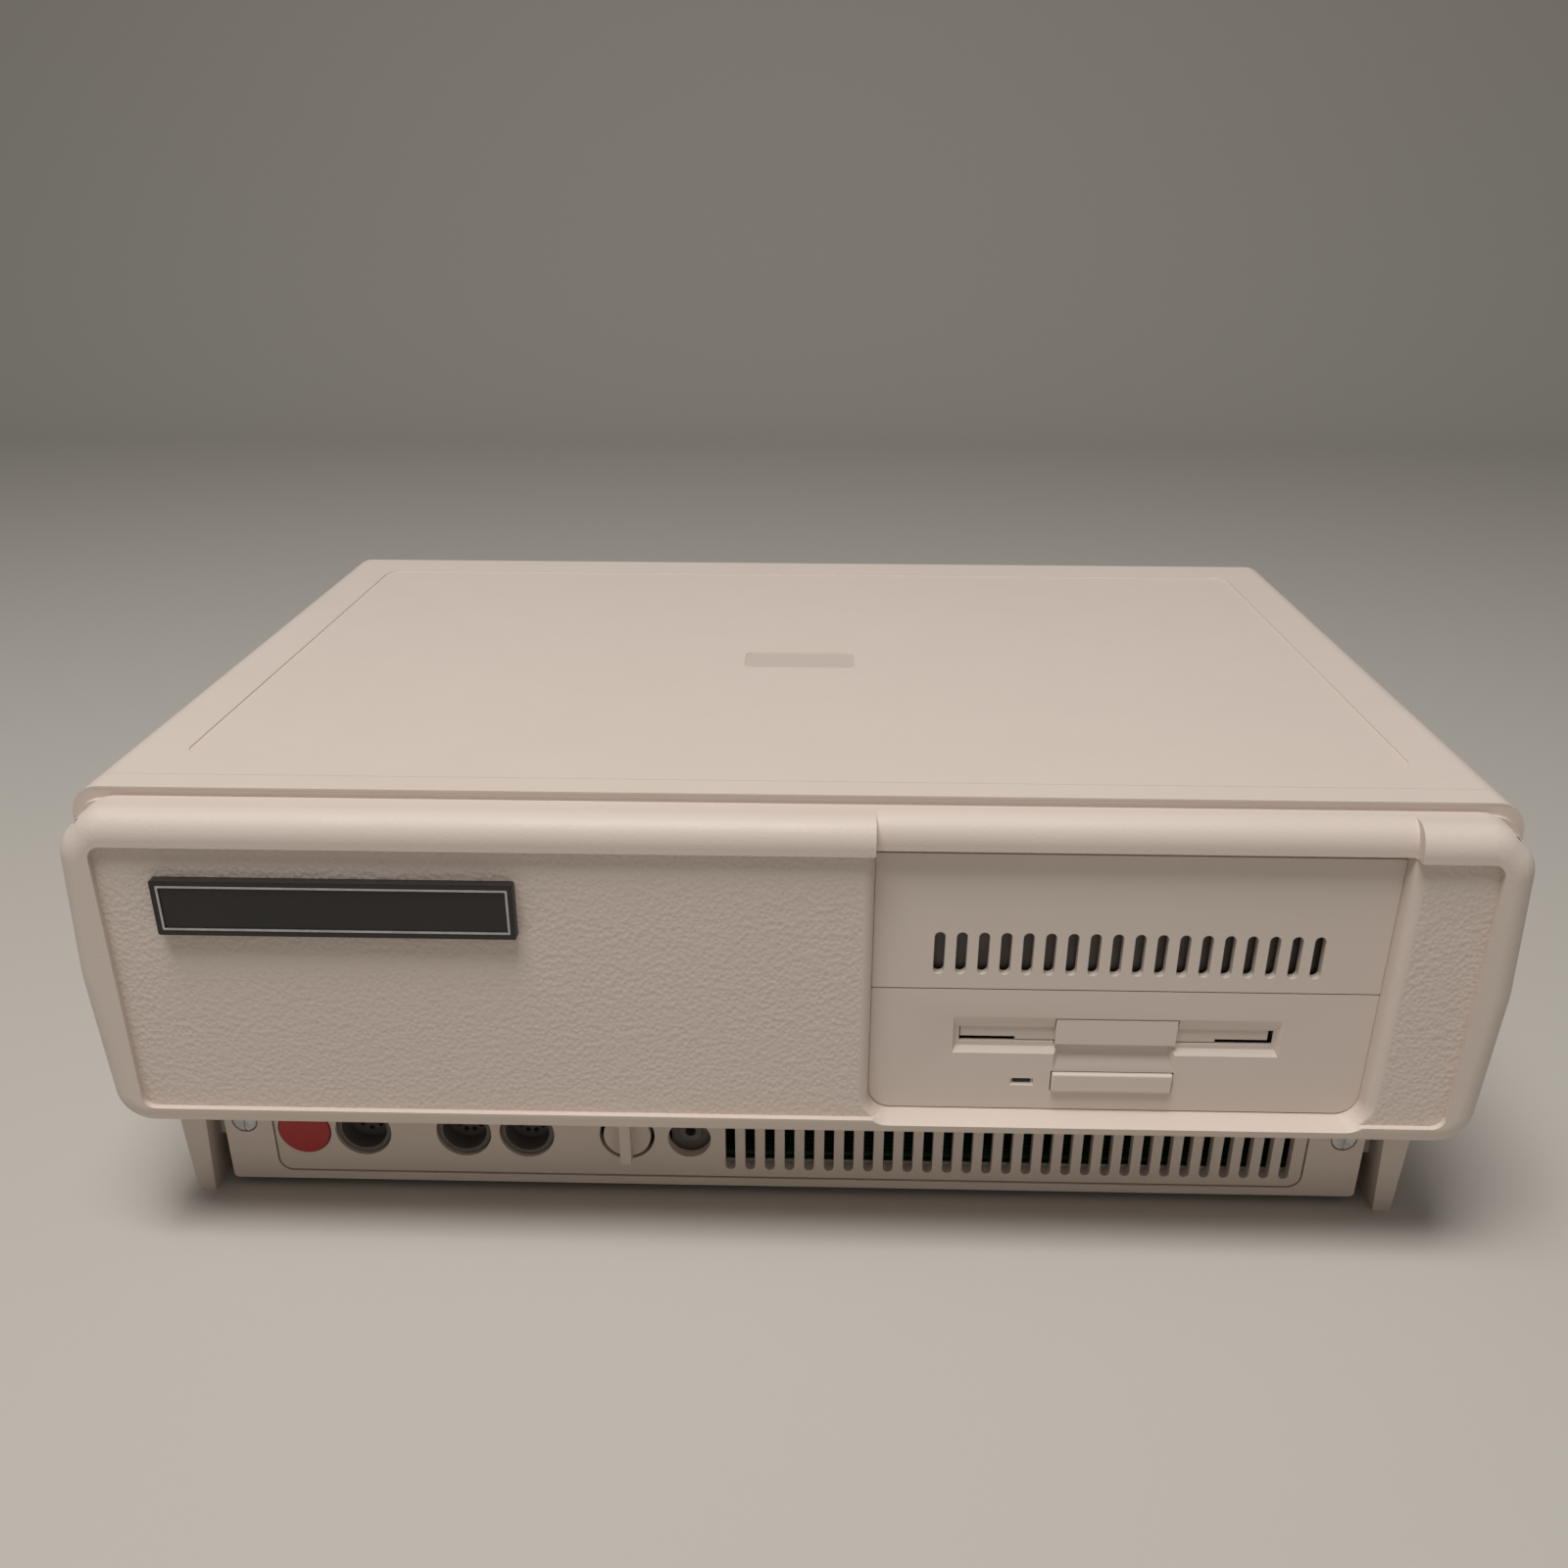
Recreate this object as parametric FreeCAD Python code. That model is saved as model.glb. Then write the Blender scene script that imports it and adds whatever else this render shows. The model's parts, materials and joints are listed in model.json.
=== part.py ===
import FreeCAD, Part
import math
import os
from FreeCAD import Vector

# A desktop home computer of the middle 1980s, in millimetres.
# X is width with +X on the user's right, Y is depth with the front at -Y, and Z is up.
# The origin is on the table, under the middle of the machine.
# Inside this file a depth "d" is counted from the bezel's foremost face towards the back.

# Overall size
overall_width = 432.0
overall_height = 152.0
overall_depth = 331.0
rear_reach = 6.0            # rear sockets stand this far behind the cover

# Cover and bezel shell
side_kink_drop = 56.0       # the leaning sides are widest this far under the lid
side_lean = 0.05            # sideways lean of the sides for each millimetre of height
kink_round = 40.0
bezel_bottom = 43.5
bezel_top_drop = 2.3        # bezel top lies this far under the lid
bezel_chamfer = 10.0        # slanted upper corners of the bezel
chamfer_round = 12.0
bezel_corner = 12.0         # lower corners of the bezel
border_round = 8.0          # big soft edge round the bezel's front
recess_depth = 2.3          # textured panel behind the border
recess_side = 12.8          # border on each side of the sunk panel
recess_floor = 51.0
recess_drop = 12.4          # from the lid down to the sunk panel's top
recess_corner = 4.0
front_wall = 5.0            # from the border's face to the inside of the front wall
shell_wall = 2.6
groove_depth = 15.7         # where the step between bezel and strip starts
groove_width = 1.2
strip_depth = 11.3
tongue_length = 7.8         # part of the bezel that reaches under the lid
tongue_low = 60.0
seam_gap = 0.3
lid_corner = 9.0
lid_inset = 0.4
lid_flange = 4.6            # inward hem along the lid's lower edges
lid_panel_side = 26.0       # from the machine's side to the shallow sunk field on the lid
lid_panel_front = 45.7
lid_panel_end = 21.9        # from the sunk field to the cover's rear edge
lid_panel_depth = 0.5
lid_panel_corner = 8.0
label_width = 40.5          # bare label field in the middle of the lid
label_length = 20.0
label_front = 151.5
label_depth = 0.35
label_corner = 3.0

# Drive bay in the bezel
bay_side = 24.9             # from the bay to the sunk panel's right edge
bay_width = 153.3
bay_floor = 51.0
bay_drop = 12.2             # from the lid down to the bay's top
bay_split = 93.55           # seam between the blank panel and the drive front
bay_setback = 8.3           # panels lie this far behind the border's face
bay_corner = 7.0
bay_flare = 1.7             # widening of the bay towards the front
bay_ramp = 2.1              # drop of the bay's lower lip towards the front
bay_gap = 0.1
blank_top_gap = 2.1         # dark line between the blank panel and the lip
mouth_round = 3.0           # soft upright edges of the bay's mouth
lip_setback = 4.5           # rounded lip over the bay
collar_wall = 2.4
collar_back = 14.0
lip_wall = 3.0

# Skirt with the window for the ports
skirt_front = 31.4
skirt_wall = 2.5
skirt_side = 23.0           # from the machine's side to the skirt's end
skirt_bottom = 3.5
window_side_left = 39.3     # from the machine's left side to the window
window_side_right = 41.5
window_floor = 6.5
window_top = 38.0
window_corner = 5.0
cover_screw_side = 30.0
cover_screw_z = 26.5
screw_sink = 4.4            # radius of the sunk seat round each cover screw

# Badge field, left bare
badge_side = 29.6           # from the machine's side to the badge
badge_width = 106.3
badge_drop = 39.6           # from the lid down to the badge's lower edge
badge_height = 17.4
badge_thick = 3.3
badge_rim = 1.6
trim_width = 0.7
trim_proud = 0.2

# Chassis
sheet = 1.2
pan_bottom = 6.0
pan_side = 22.0             # from the machine's side to the pan's wall
pan_wall_top = 48.8
chassis_front = 34.4
chassis_back_inset = 4.0    # rear panel lies this far inside the cover's end
rear_side = 9.0             # from the machine's side to the rear panel's edge
rear_drop = 7.2             # from the lid down to the rear panel's top
leg_front = 28.4
leg_back_inset = 14.0
leg_foot_side = 10.9        # from the machine's side to the foot of a leg
leg_foot_width = 5.9
leg_spread = 0.046          # each side of a leg moves out by this for a millimetre of height
runner_gap = 0.3
runner_side = 5.0
runner_thick = 2.7
rail_top = 56.0
rail_body_start = 11.6      # distance from the leg's front to the full rail section

# Port panel and what shows in it
port_centre_z = 23.0
port_recess = 0.5
port_pad = 2.5
port_flange = 1.6
port_flange_side = 36.5
port_edge_gap = 0.5
reset_place = 10.7          # places along the panel, counted from the window's left edge
keyboard_place = 30.9
joystick_places = (65.4, 87.0)
volume_place = 121.3
earphone_place = 142.5
socket_hole = 9.6
joystick_hole = 9.4
volume_hole = 9.4
earphone_hole = 7.3
earphone_z = 22.0
button_radius = 8.75
button_gap = 0.35
reset_travel = 3.0
vent_count = 29
vent_first_place = 156.4
vent_last_side = 6.4        # from the last air slot to the window's right edge
vent_width = 3.4
vent_floor = 9.9
vent_top = 35.0

# Electronics
board_gap = 4.2
board_thick = 1.6
board_side = 28.0
board_front = 38.5
board_step = 178.0          # depth where the board narrows beside the power supply
board_supply_gap = 4.0
board_back_gap = 4.0
slot_count = 5
slot_side = 44.0            # from the machine's left side to the first slot
slot_pitch = 22.0
connector_width = 8.5
connector_length = 85.0
connector_height = 14.0
bracket_width = 18.4
bracket_thick = 0.9
screw_radius = 1.5
screw_clear = 0.1
head_radius = 3.0
head_thick = 2.0

# Drive
cage_front = 15.0
cage_length = 160.0
shelf_front = 42.0
shelf_back = 185.0
slot_half = 48.15           # half width of the disk mouth
slot_floor = 74.7
slot_top = 79.8
mouth_half = 50.2           # half width of the sunk field round the mouth
mouth_floor = 71.2
mouth_top = 84.0
mouth_depth = 1.6
mouth_ramp = 2.0            # height of the sunk field's lower slope
notch_half = 18.7           # finger notch under the door's block
notch_half_back = 17.0
notch_floor = 65.5
notch_floor_back = 70.0
notch_depth = 2.4
eject_half = 18.7
eject_floor = 58.2
eject_height = 6.6
eject_gap = 0.35
eject_proud = 1.5
eject_travel = 4.5
panel_thick = 3.2
door_thick = 1.2
door_gap = 0.35
door_depth = 2.3            # door face lies this far behind the drive front
door_hinge_z = 82.4
door_block_half = 18.6      # block in the middle of the door, flush with the drive front
door_block_top = 83.3
door_block_low = 74.4
door_block_gap = 0.3
door_relief = 1.0           # raised lower edge at the door's two ends
door_relief_length = 17.0
pocket_depth = 2.1          # from the drive front to the space that holds the hinge
pin_radius = 0.6            # hinge pins of the door
pin_reach = 2.0
ear_width = 2.5
lens_offset = 27.85         # lamp, to the left of the disk mouth's middle
lens_z = 61.25
lens_half = 2.95
lens_radius = 0.65
lamp_seat_half = 3.6
lamp_seat_low = 1.5
lamp_seat_high = 1.1
lamp_seat_depth = 0.7
blank_vents = 18
blank_vent_first_side = 20.0
blank_vent_last_side = 20.6
blank_vent_width = 3.3
blank_vent_floor = 98.5
blank_vent_top = 112.5
carriage_travel = 15.0
running_gap = 0.05
free_gap = 0.3

# Power supply
supply_side = 26.0
supply_width = 90.0
supply_front = 190.0
supply_height = 114.8
supply_wall = 1.0
fan_size = 80.0
fan_depth = 25.0
fan_bore = 38.0
fan_hub = 16.0
fan_tip = 36.4
blade_count = 7

# Places that follow from the sizes above
front_reach = badge_thick - recess_depth
depth_end = overall_depth - front_reach
cover_back = depth_end - rear_reach
rear_face = cover_back - chassis_back_inset + sheet
rear_inside = rear_face - sheet
half_width = overall_width / 2
side_kink_z = overall_height - side_kink_drop
bezel_top = overall_height - bezel_top_drop
recess_half = half_width - recess_side
recess_top = overall_height - recess_drop
lid_panel_half = half_width - lid_panel_side
lid_panel_back = cover_back - lid_panel_end
bay_right = recess_half - bay_side
bay_left = bay_right - bay_width
bay_top = overall_height - bay_drop
skirt_half = half_width - skirt_side
window_left = window_side_left - half_width
window_right = half_width - window_side_right
cover_screw_x = half_width - cover_screw_side
badge_left = badge_side - half_width
badge_floor = overall_height - badge_drop
pan_half = half_width - pan_side
rear_half = half_width - rear_side
rear_top = overall_height - rear_drop
leg_foot_outer = half_width - leg_foot_side
leg_foot_inner = leg_foot_outer - leg_foot_width
runner_half = half_width - runner_side
port_flange_half = half_width - port_flange_side
reset_x = window_left + reset_place
keyboard_x = window_left + keyboard_place
joystick_x = (window_left + joystick_places[0], window_left + joystick_places[1])
volume_x = window_left + volume_place
earphone_x = window_left + earphone_place
vent_first = window_left + vent_first_place
vent_last = window_right - vent_last_side
supply_right = half_width - supply_side
supply_left = supply_right - supply_width
board_half = half_width - board_side
board_right_back = supply_left - board_supply_gap
slot_first = slot_side - half_width
strip_front = groove_depth + groove_width
strip_back = strip_front + strip_depth
lid_front = strip_back + seam_gap
tongue_back = strip_back + tongue_length
cavity_inset = lid_inset + shell_wall + 0.1 + 2.4
cavity_top = overall_height - shell_wall - 0.1 - 2.4
cavity_floor = bezel_bottom + 3.0
bay_centre = (bay_left + bay_right) / 2
pan_floor = pan_bottom + sheet
board_bottom = pan_floor + board_gap
board_top = board_bottom + board_thick
board_back = rear_inside - board_back_gap
port_face = skirt_front + port_recess
port_back = port_face + port_pad + port_flange
cage_left = bay_left - 1.0
cage_right = bay_right + 1.0
shelf_top = pan_wall_top + sheet
cage_top = bay_top + 0.2
drive_x = bay_centre - 0.9
lens_x = drive_x - lens_offset
blank_vent_first = bay_left + blank_vent_first_side
blank_vent_last = bay_right - blank_vent_last_side
tray_top = shelf_top + 6.0
frame_floor = tray_top
frame_half = 51.0
frame_wall = 2.2
frame_front = cage_front - 1.0
frame_length = 144.0
frame_top = 86.0
deck = frame_floor + 2.5
supply_x = (supply_left + supply_right) / 2
supply_top = pan_floor + supply_height
fan_z = supply_top - supply_wall - fan_size / 2 - 1.0
fan_back = rear_inside - supply_wall
fan_front = fan_back - fan_depth
rail_end = cover_back - leg_back_inset
door_hinge_d = bay_setback + door_depth + door_thick / 2
runner_top = bezel_bottom - runner_gap


def y(d):
    """Y of a depth counted from the bezel's face."""
    return d + front_reach - overall_depth / 2


def half_at(z, inset=0.0):
    """Half width of the leaning shell at height z."""
    return half_width - inset - side_lean * abs(z - side_kink_z)


def block(x0, x1, d0, d1, z0, z1):
    """Box between two corners given as x, depth and height."""
    return Part.makeBox(x1 - x0, d1 - d0, z1 - z0, Vector(x0, y(d0), z0))


def rod_y(x, z, radius, d0, d1):
    """Round bar along the depth."""
    return Part.makeCylinder(radius, d1 - d0, Vector(x, y(d0), z), Vector(0, 1, 0))


def rod_z(x, d, radius, z0, z1):
    """Upright round bar."""
    return Part.makeCylinder(radius, z1 - z0, Vector(x, y(d), z0))


def rod_x(d, z, radius, x0, x1):
    """Round bar along the width."""
    return Part.makeCylinder(radius, x1 - x0, Vector(x0, y(d), z), Vector(1, 0, 0))


def rounded_wire(corners, place):
    """Closed wire through corners (a, b, radius), with an arc at each corner that has a radius."""
    count = len(corners)
    stations = []
    for i in range(count):
        a, b, radius = corners[i]
        pa, pb, _ = corners[i - 1]
        na, nb, _ = corners[(i + 1) % count]
        back = Vector(pa - a, pb - b, 0)
        ahead = Vector(na - a, nb - b, 0)
        back.normalize()
        ahead.normalize()
        here = Vector(a, b, 0)
        if radius <= 0:
            stations.append((here, None, here))
            continue
        opening = back.getAngle(ahead)
        reach = radius / math.tan(opening / 2)
        towards = back + ahead
        towards.normalize()
        middle = here + towards * (radius / math.sin(opening / 2) - radius)
        stations.append((here + back * reach, middle, here + ahead * reach))
    edges = []
    for i in range(count):
        start, middle, end = stations[i]
        if middle is not None:
            edges.append(Part.Arc(place(start), place(middle), place(end)).toShape())
        following = stations[(i + 1) % count][0]
        if (following - end).Length > 1e-4:
            edges.append(Part.LineSegment(place(end), place(following)).toShape())
    return Part.Wire(edges)


def prism_xz(corners, d0, d1):
    """Outline of x and z, pulled from depth d0 to d1."""
    wire = rounded_wire(corners, lambda p: Vector(p.x, y(d0), p.y))
    return Part.Face(wire).extrude(Vector(0, d1 - d0, 0))


def prism_xd(corners, z0, z1):
    """Outline of x and depth, pulled from height z0 to z1."""
    wire = rounded_wire(corners, lambda p: Vector(p.x, y(p.y), z0))
    return Part.Face(wire).extrude(Vector(0, 0, z1 - z0))


def prism_dz(corners, x0, x1):
    """Outline of depth and height, pulled from x0 to x1."""
    wire = rounded_wire(corners, lambda p: Vector(x0, y(p.x), p.y))
    return Part.Face(wire).extrude(Vector(x1 - x0, 0, 0))


def frame_corners(a0, a1, b0, b1, radius):
    """Corners of a rectangle with one radius."""
    return [(a0, b0, radius), (a1, b0, radius), (a1, b1, radius), (a0, b1, radius)]


def upright_slot(x, z0, z1, width, d0, d1):
    """Slot with round ends, cut along the depth."""
    radius = width / 2
    middle = block(x - radius, x + radius, d0, d1, z0 + radius, z1 - radius)
    low = rod_y(x, z0 + radius, radius, d0, d1)
    high = rod_y(x, z1 - radius, radius, d0, d1)
    return middle.fuse([low, high]).removeSplitter()


def row(first, last, count):
    """Evenly spaced places from first to last."""
    return [first + (last - first) * i / (count - 1) for i in range(count)]


def mirror_x(shape):
    """The same shape on the other side of the machine."""
    return shape.mirror(Vector(0, 0, 0), Vector(1, 0, 0))


def group(shapes):
    """Several separate solids kept in one node."""
    return Part.makeCompound(shapes)


def single(shape):
    """The one solid that a chain of cuts and joins leaves."""
    solids = shape.Solids
    return solids[0] if len(solids) == 1 else shape


def shell_corners(inset, bottom, top, corner, low_corner):
    """Outline of the cover: straight sides that lean out to the kink and in again, with a round top."""
    low = half_at(bottom, inset)
    wide = half_width - inset
    high = half_at(top, inset)
    right = [(low, bottom, low_corner), (wide, side_kink_z, kink_round), (high, top, corner)]
    left = [(-a, b, r) for a, b, r in reversed(right)]
    return right + left


def bezel_corners():
    """Outline of the bezel's front part, with slanted upper corners."""
    low = half_at(bezel_bottom)
    shoulder = bezel_top - bezel_chamfer
    right = [
        (low, bezel_bottom, bezel_corner),
        (half_width, side_kink_z, kink_round),
        (half_at(shoulder), shoulder, chamfer_round),
        (half_at(bezel_top) - bezel_chamfer, bezel_top, chamfer_round),
    ]
    left = [(-a, b, r) for a, b, r in reversed(right)]
    return right + left


def bezel_posts():
    """Places of the four screw posts inside the bezel, as x and z."""
    side_x = half_width - 12.5
    return [(-160.0, cavity_top - 6.0), (0.0, cavity_top - 6.0), (-side_x, 110.0), (side_x, 110.0)]


def mouth_rounding():
    """Space that softens the upright edges where the sunk panel turns into the bay."""
    def section(turn):
        reach = mouth_round * (1 - math.sin(turn))
        d = recess_depth + mouth_round * (1 - math.cos(turn))
        share = 1 - d / bay_setback
        low = bay_floor - bay_ramp * share
        corner = bay_corner + reach
        left = bay_left - bay_flare * share * 0.4 - reach
        right = bay_right + bay_flare * share + reach
        corners = [(left, low, corner), (right, low, corner), (right, bay_top, 0.5), (left, bay_top, 0.5)]
        return rounded_wire(corners, lambda p: Vector(p.x, y(d), p.y))
    turns = [math.radians(a) for a in (0, 22, 45, 67, 90)]
    slices = [Part.makeLoft([section(a), section(b)], True, True) for a, b in zip(turns, turns[1:])]
    above = block(bay_left - 10.0, bay_right + 10.0, 0, bay_setback, bay_floor, bay_top)
    return [piece.common(above) for piece in slices]


def bay_opening():
    """Space that the bay takes out of the bezel: a flared mouth and a straight passage."""
    def section(d, grow, drop):
        corners = [
            (bay_left - grow * 0.4, bay_floor - drop, bay_corner),
            (bay_right + grow, bay_floor - drop, bay_corner),
            (bay_right + grow, bay_top, 0.5),
            (bay_left - grow * 0.4, bay_top, 0.5),
        ]
        return rounded_wire(corners, lambda p: Vector(p.x, y(d), p.y))
    mouth = Part.makeLoft([section(0, bay_flare, bay_ramp), section(bay_setback, 0, 0)], True, True)
    ahead = Part.Face(section(0, bay_flare, bay_ramp)).extrude(Vector(0, -2 * border_round, 0))
    passage = Part.Face(section(bay_setback, 0, 0)).extrude(Vector(0, collar_back, 0))
    return mouth.fuse([ahead, passage] + mouth_rounding())


def lip_profile(setback, roundness, low, ahead):
    """Space in front of a rounded lip, as an outline of depth and height."""
    start = setback + roundness
    return [
        (-ahead, low, 0),
        (setback, low, 0),
        (setback, bezel_top, roundness),
        (start + 2.0, bezel_top, 0),
        (start + 2.0, bezel_top + ahead, 0),
        (-ahead, bezel_top + ahead, 0),
    ]


def front_bezel():
    """Moulded bezel: round border, sunk panel, bay, strip that meets the lid, and the skirt."""
    body = prism_xz(bezel_corners(), 0, groove_depth)
    front_edges = [e for e in body.Edges if e.BoundBox.YMax < y(0) + 0.001]
    body = body.makeFillet(border_round, front_edges)
    neck = prism_xz(shell_corners(groove_width + lid_inset, bezel_bottom, bezel_top - groove_width,
                                  lid_corner, 2.0), groove_depth - 1.0, strip_front)
    strip = prism_xz(shell_corners(lid_inset, bezel_bottom, overall_height, lid_corner, 2.0),
                     strip_front, strip_back)
    under = lid_inset + shell_wall + 0.1
    tongue = prism_xz(shell_corners(under, tongue_low, overall_height - shell_wall - 0.1,
                                    lid_corner - shell_wall, 0), strip_back - 1.0, tongue_back)
    shell = body.fuse([neck, strip, tongue])
    cavity = prism_xz(shell_corners(cavity_inset, cavity_floor, cavity_top, 4.0, 2.0),
                      front_wall, tongue_back + 1.0)
    shell = shell.cut(cavity)
    below = block(-half_width, half_width, strip_back, tongue_back + 1.0, 0, tongue_low + 0.5)
    shell = shell.cut(below)

    collar = prism_xz(frame_corners(bay_left - collar_wall, bay_right + collar_wall,
                                    bay_floor - collar_wall, bay_top + collar_wall, bay_corner),
                      recess_depth + 0.5, collar_back)
    lip_back = lip_setback + border_round
    backing = prism_dz([
        (lip_setback - 1.5, bay_top, 0),
        (lip_setback - 1.5, bezel_top - 4.0, 0),
        (lip_setback + 3.0, bezel_top - 2.0, 0),
        (lip_back + 2.5, bezel_top - 2.0, 0),
        (lip_back + 2.5, cavity_top - 0.5, 0),
        (lip_back, cavity_top - 0.5, 0),
        (lip_setback + lip_wall, bezel_top - border_round, 0),
        (lip_setback + lip_wall, bay_top, 0),
    ], bay_left - 3.0, bay_right + 3.0)
    skirt = prism_xz(frame_corners(-skirt_half, skirt_half, skirt_bottom, cavity_floor, 1.5),
                     skirt_front, skirt_front + skirt_wall)
    shelf = block(-skirt_half - 8.0, skirt_half + 8.0, strip_back - 1.0, skirt_front + skirt_wall,
                  bezel_bottom, cavity_floor)
    posts = [rod_y(px, pz, 4.0, front_wall - 1.0, tongue_back) for px, pz in bezel_posts()]
    shell = shell.fuse([collar, backing, skirt, shelf] + posts)

    recess = prism_xz(frame_corners(-recess_half, recess_half, recess_floor, recess_top,
                                    recess_corner), -1.0, recess_depth)
    lip_cut = prism_dz(lip_profile(lip_setback, border_round, bay_top, 2 * border_round),
                       bay_left - 0.2, bay_right + 0.8)
    window = prism_xz(frame_corners(window_left, window_right, window_floor, window_top,
                                    window_corner), skirt_front - 1.0, skirt_front + skirt_wall + 1.0)
    cuts = [recess, bay_opening(), lip_cut, window]
    for side in (-1, 1):
        sx = side * cover_screw_x
        cuts.append(rod_y(sx, cover_screw_z, screw_sink, skirt_front - 1.0, skirt_front + 1.3))
        cuts.append(rod_y(sx, cover_screw_z, 2.0 + free_gap, skirt_front, skirt_front + skirt_wall + 1.0))
    for px, pz in bezel_posts():
        cuts.append(rod_y(px, pz, screw_radius + screw_clear, tongue_back - 18.0, tongue_back + 1.0))
    return single(shell.cut(cuts))


def lid_tabs():
    """Tabs inside the lid that take the bezel's screws, as x ranges and z ranges."""
    tabs = []
    for px, pz in bezel_posts():
        if abs(px) < half_width / 1.2:
            tabs.append((px - 6.0, px + 6.0, pz - 6.0, overall_height - shell_wall + 0.5))
        else:
            inner = half_at(pz, lid_inset + shell_wall) + 0.5
            reach = abs(px) - 6.0
            low, high = (reach, inner) if px > 0 else (-inner, -reach)
            tabs.append((low, high, pz - 6.0, pz + 6.0))
    return tabs


def top_cover():
    """Lid and sides in one moulded shell, open at the front, the back and below."""
    outer = prism_xz(shell_corners(lid_inset, bezel_bottom, overall_height, lid_corner, 1.0),
                     lid_front, cover_back)
    inner = prism_xz(shell_corners(lid_inset + shell_wall, bezel_bottom + shell_wall,
                                   overall_height - shell_wall, lid_corner - shell_wall, 1.0),
                     lid_front - 1.0, cover_back + 1.0)
    hem = half_at(bezel_bottom, lid_inset) - lid_flange
    mouth = block(-hem, hem, lid_front - 1.0, cover_back + 1.0, bezel_bottom - 1.0,
                  bezel_bottom + shell_wall + 1.0)
    field = prism_xd(frame_corners(-lid_panel_half, lid_panel_half, lid_panel_front, lid_panel_back,
                                   lid_panel_corner),
                     overall_height - lid_panel_depth, overall_height + 1.0)
    label = prism_xd(frame_corners(-label_width / 2, label_width / 2, label_front,
                                   label_front + label_length, label_corner),
                     overall_height - lid_panel_depth - label_depth, overall_height)
    tab_front = tongue_back + seam_gap
    tabs = [block(x0, x1, tab_front, tab_front + shell_wall, z0, z1) for x0, x1, z0, z1 in lid_tabs()]
    shell = outer.cut([inner, mouth]).fuse(tabs)
    holes = [rod_y(px, pz, screw_radius + screw_clear, tab_front - 1.0, tab_front + shell_wall + 1.0)
             for px, pz in bezel_posts()]
    return single(shell.cut([field, label] + holes))


def pan_head(place, axis, head, head_length, shank, shank_length):
    """Screw with a round head at place, whose shank runs along axis, with a straight drive slot."""
    body = Part.makeCylinder(head, head_length, place - axis * head_length, axis)
    body = body.fuse(Part.makeCylinder(shank, shank_length, place, axis))
    across = Vector(axis.z, axis.x, axis.y)
    along = axis.cross(across)
    slot = Part.makeBox(2.4 * head, 0.7, 0.8)
    matrix = FreeCAD.Matrix(across.x, along.x, axis.x, 0, across.y, along.y, axis.y, 0,
                            across.z, along.z, axis.z, 0, 0, 0, 0, 1)
    slot.translate(Vector(-1.2 * head, -0.35, -0.4))
    slot = slot.transformGeometry(matrix)
    slot.translate(place - axis * head_length)
    return body.cut(slot)


def bezel_screws():
    """Four screws that hold the bezel to the lid."""
    seat = tongue_back + seam_gap + shell_wall
    return group([pan_head(Vector(px, y(seat), pz), Vector(0, -1, 0), head_radius, head_thick,
                           screw_radius, shell_wall + 14.0) for px, pz in bezel_posts()])


def cover_screws():
    """Two screws at the front that hold the cover to the chassis."""
    seat = skirt_front + 1.3
    return group([pan_head(Vector(side * cover_screw_x, y(seat), cover_screw_z), Vector(0, 1, 0),
                           screw_sink - 0.4, 1.2, 2.0, 9.0) for side in (-1, 1)])


def cover_nuts():
    """Two welded nuts behind the chassis ears, for the cover screws."""
    start = chassis_front + sheet
    nuts = []
    for side in (-1, 1):
        corners = []
        for i in range(6):
            turn = math.radians(60 * i)
            corners.append((side * cover_screw_x + 4.0 * math.cos(turn),
                            cover_screw_z + 4.0 * math.sin(turn), 0))
        nut = prism_xz(corners, start, start + 3.2)
        nuts.append(nut.cut(rod_y(side * cover_screw_x, cover_screw_z, 2.0 + free_gap,
                                  start - 1.0, start + 5.0)))
    return group(nuts)


def badge_plate():
    """Bare black plate on the left of the bezel, with a raised rim."""
    right = badge_left + badge_width
    top = badge_floor + badge_height
    plate = prism_xz(frame_corners(badge_left, right, badge_floor, top, 0.6),
                     -front_reach, recess_depth)
    inset = badge_rim + trim_width
    field = prism_xz(frame_corners(badge_left + inset, right - inset, badge_floor + inset,
                                   top - inset, 0.4), -front_reach - 1.0, -front_reach + 0.6)
    groove = badge_trim_ring(0.0, 0.5)
    return single(plate.cut([field, groove]))


def badge_trim_ring(proud, deep):
    """Thin frame that follows the badge's rim."""
    right = badge_left + badge_width
    top = badge_floor + badge_height
    outer = prism_xz(frame_corners(badge_left + badge_rim, right - badge_rim,
                                   badge_floor + badge_rim, top - badge_rim, 0.4),
                     -front_reach - proud, -front_reach + deep)
    inset = badge_rim + trim_width
    inner = prism_xz(frame_corners(badge_left + inset, right - inset, badge_floor + inset,
                                   top - inset, 0.3), -front_reach - 1.0, -front_reach + deep + 1.0)
    return outer.cut(inner)


def badge_trim():
    """Silver line set into the badge, flush with its rim."""
    return single(badge_trim_ring(0.0, 0.5))


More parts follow.
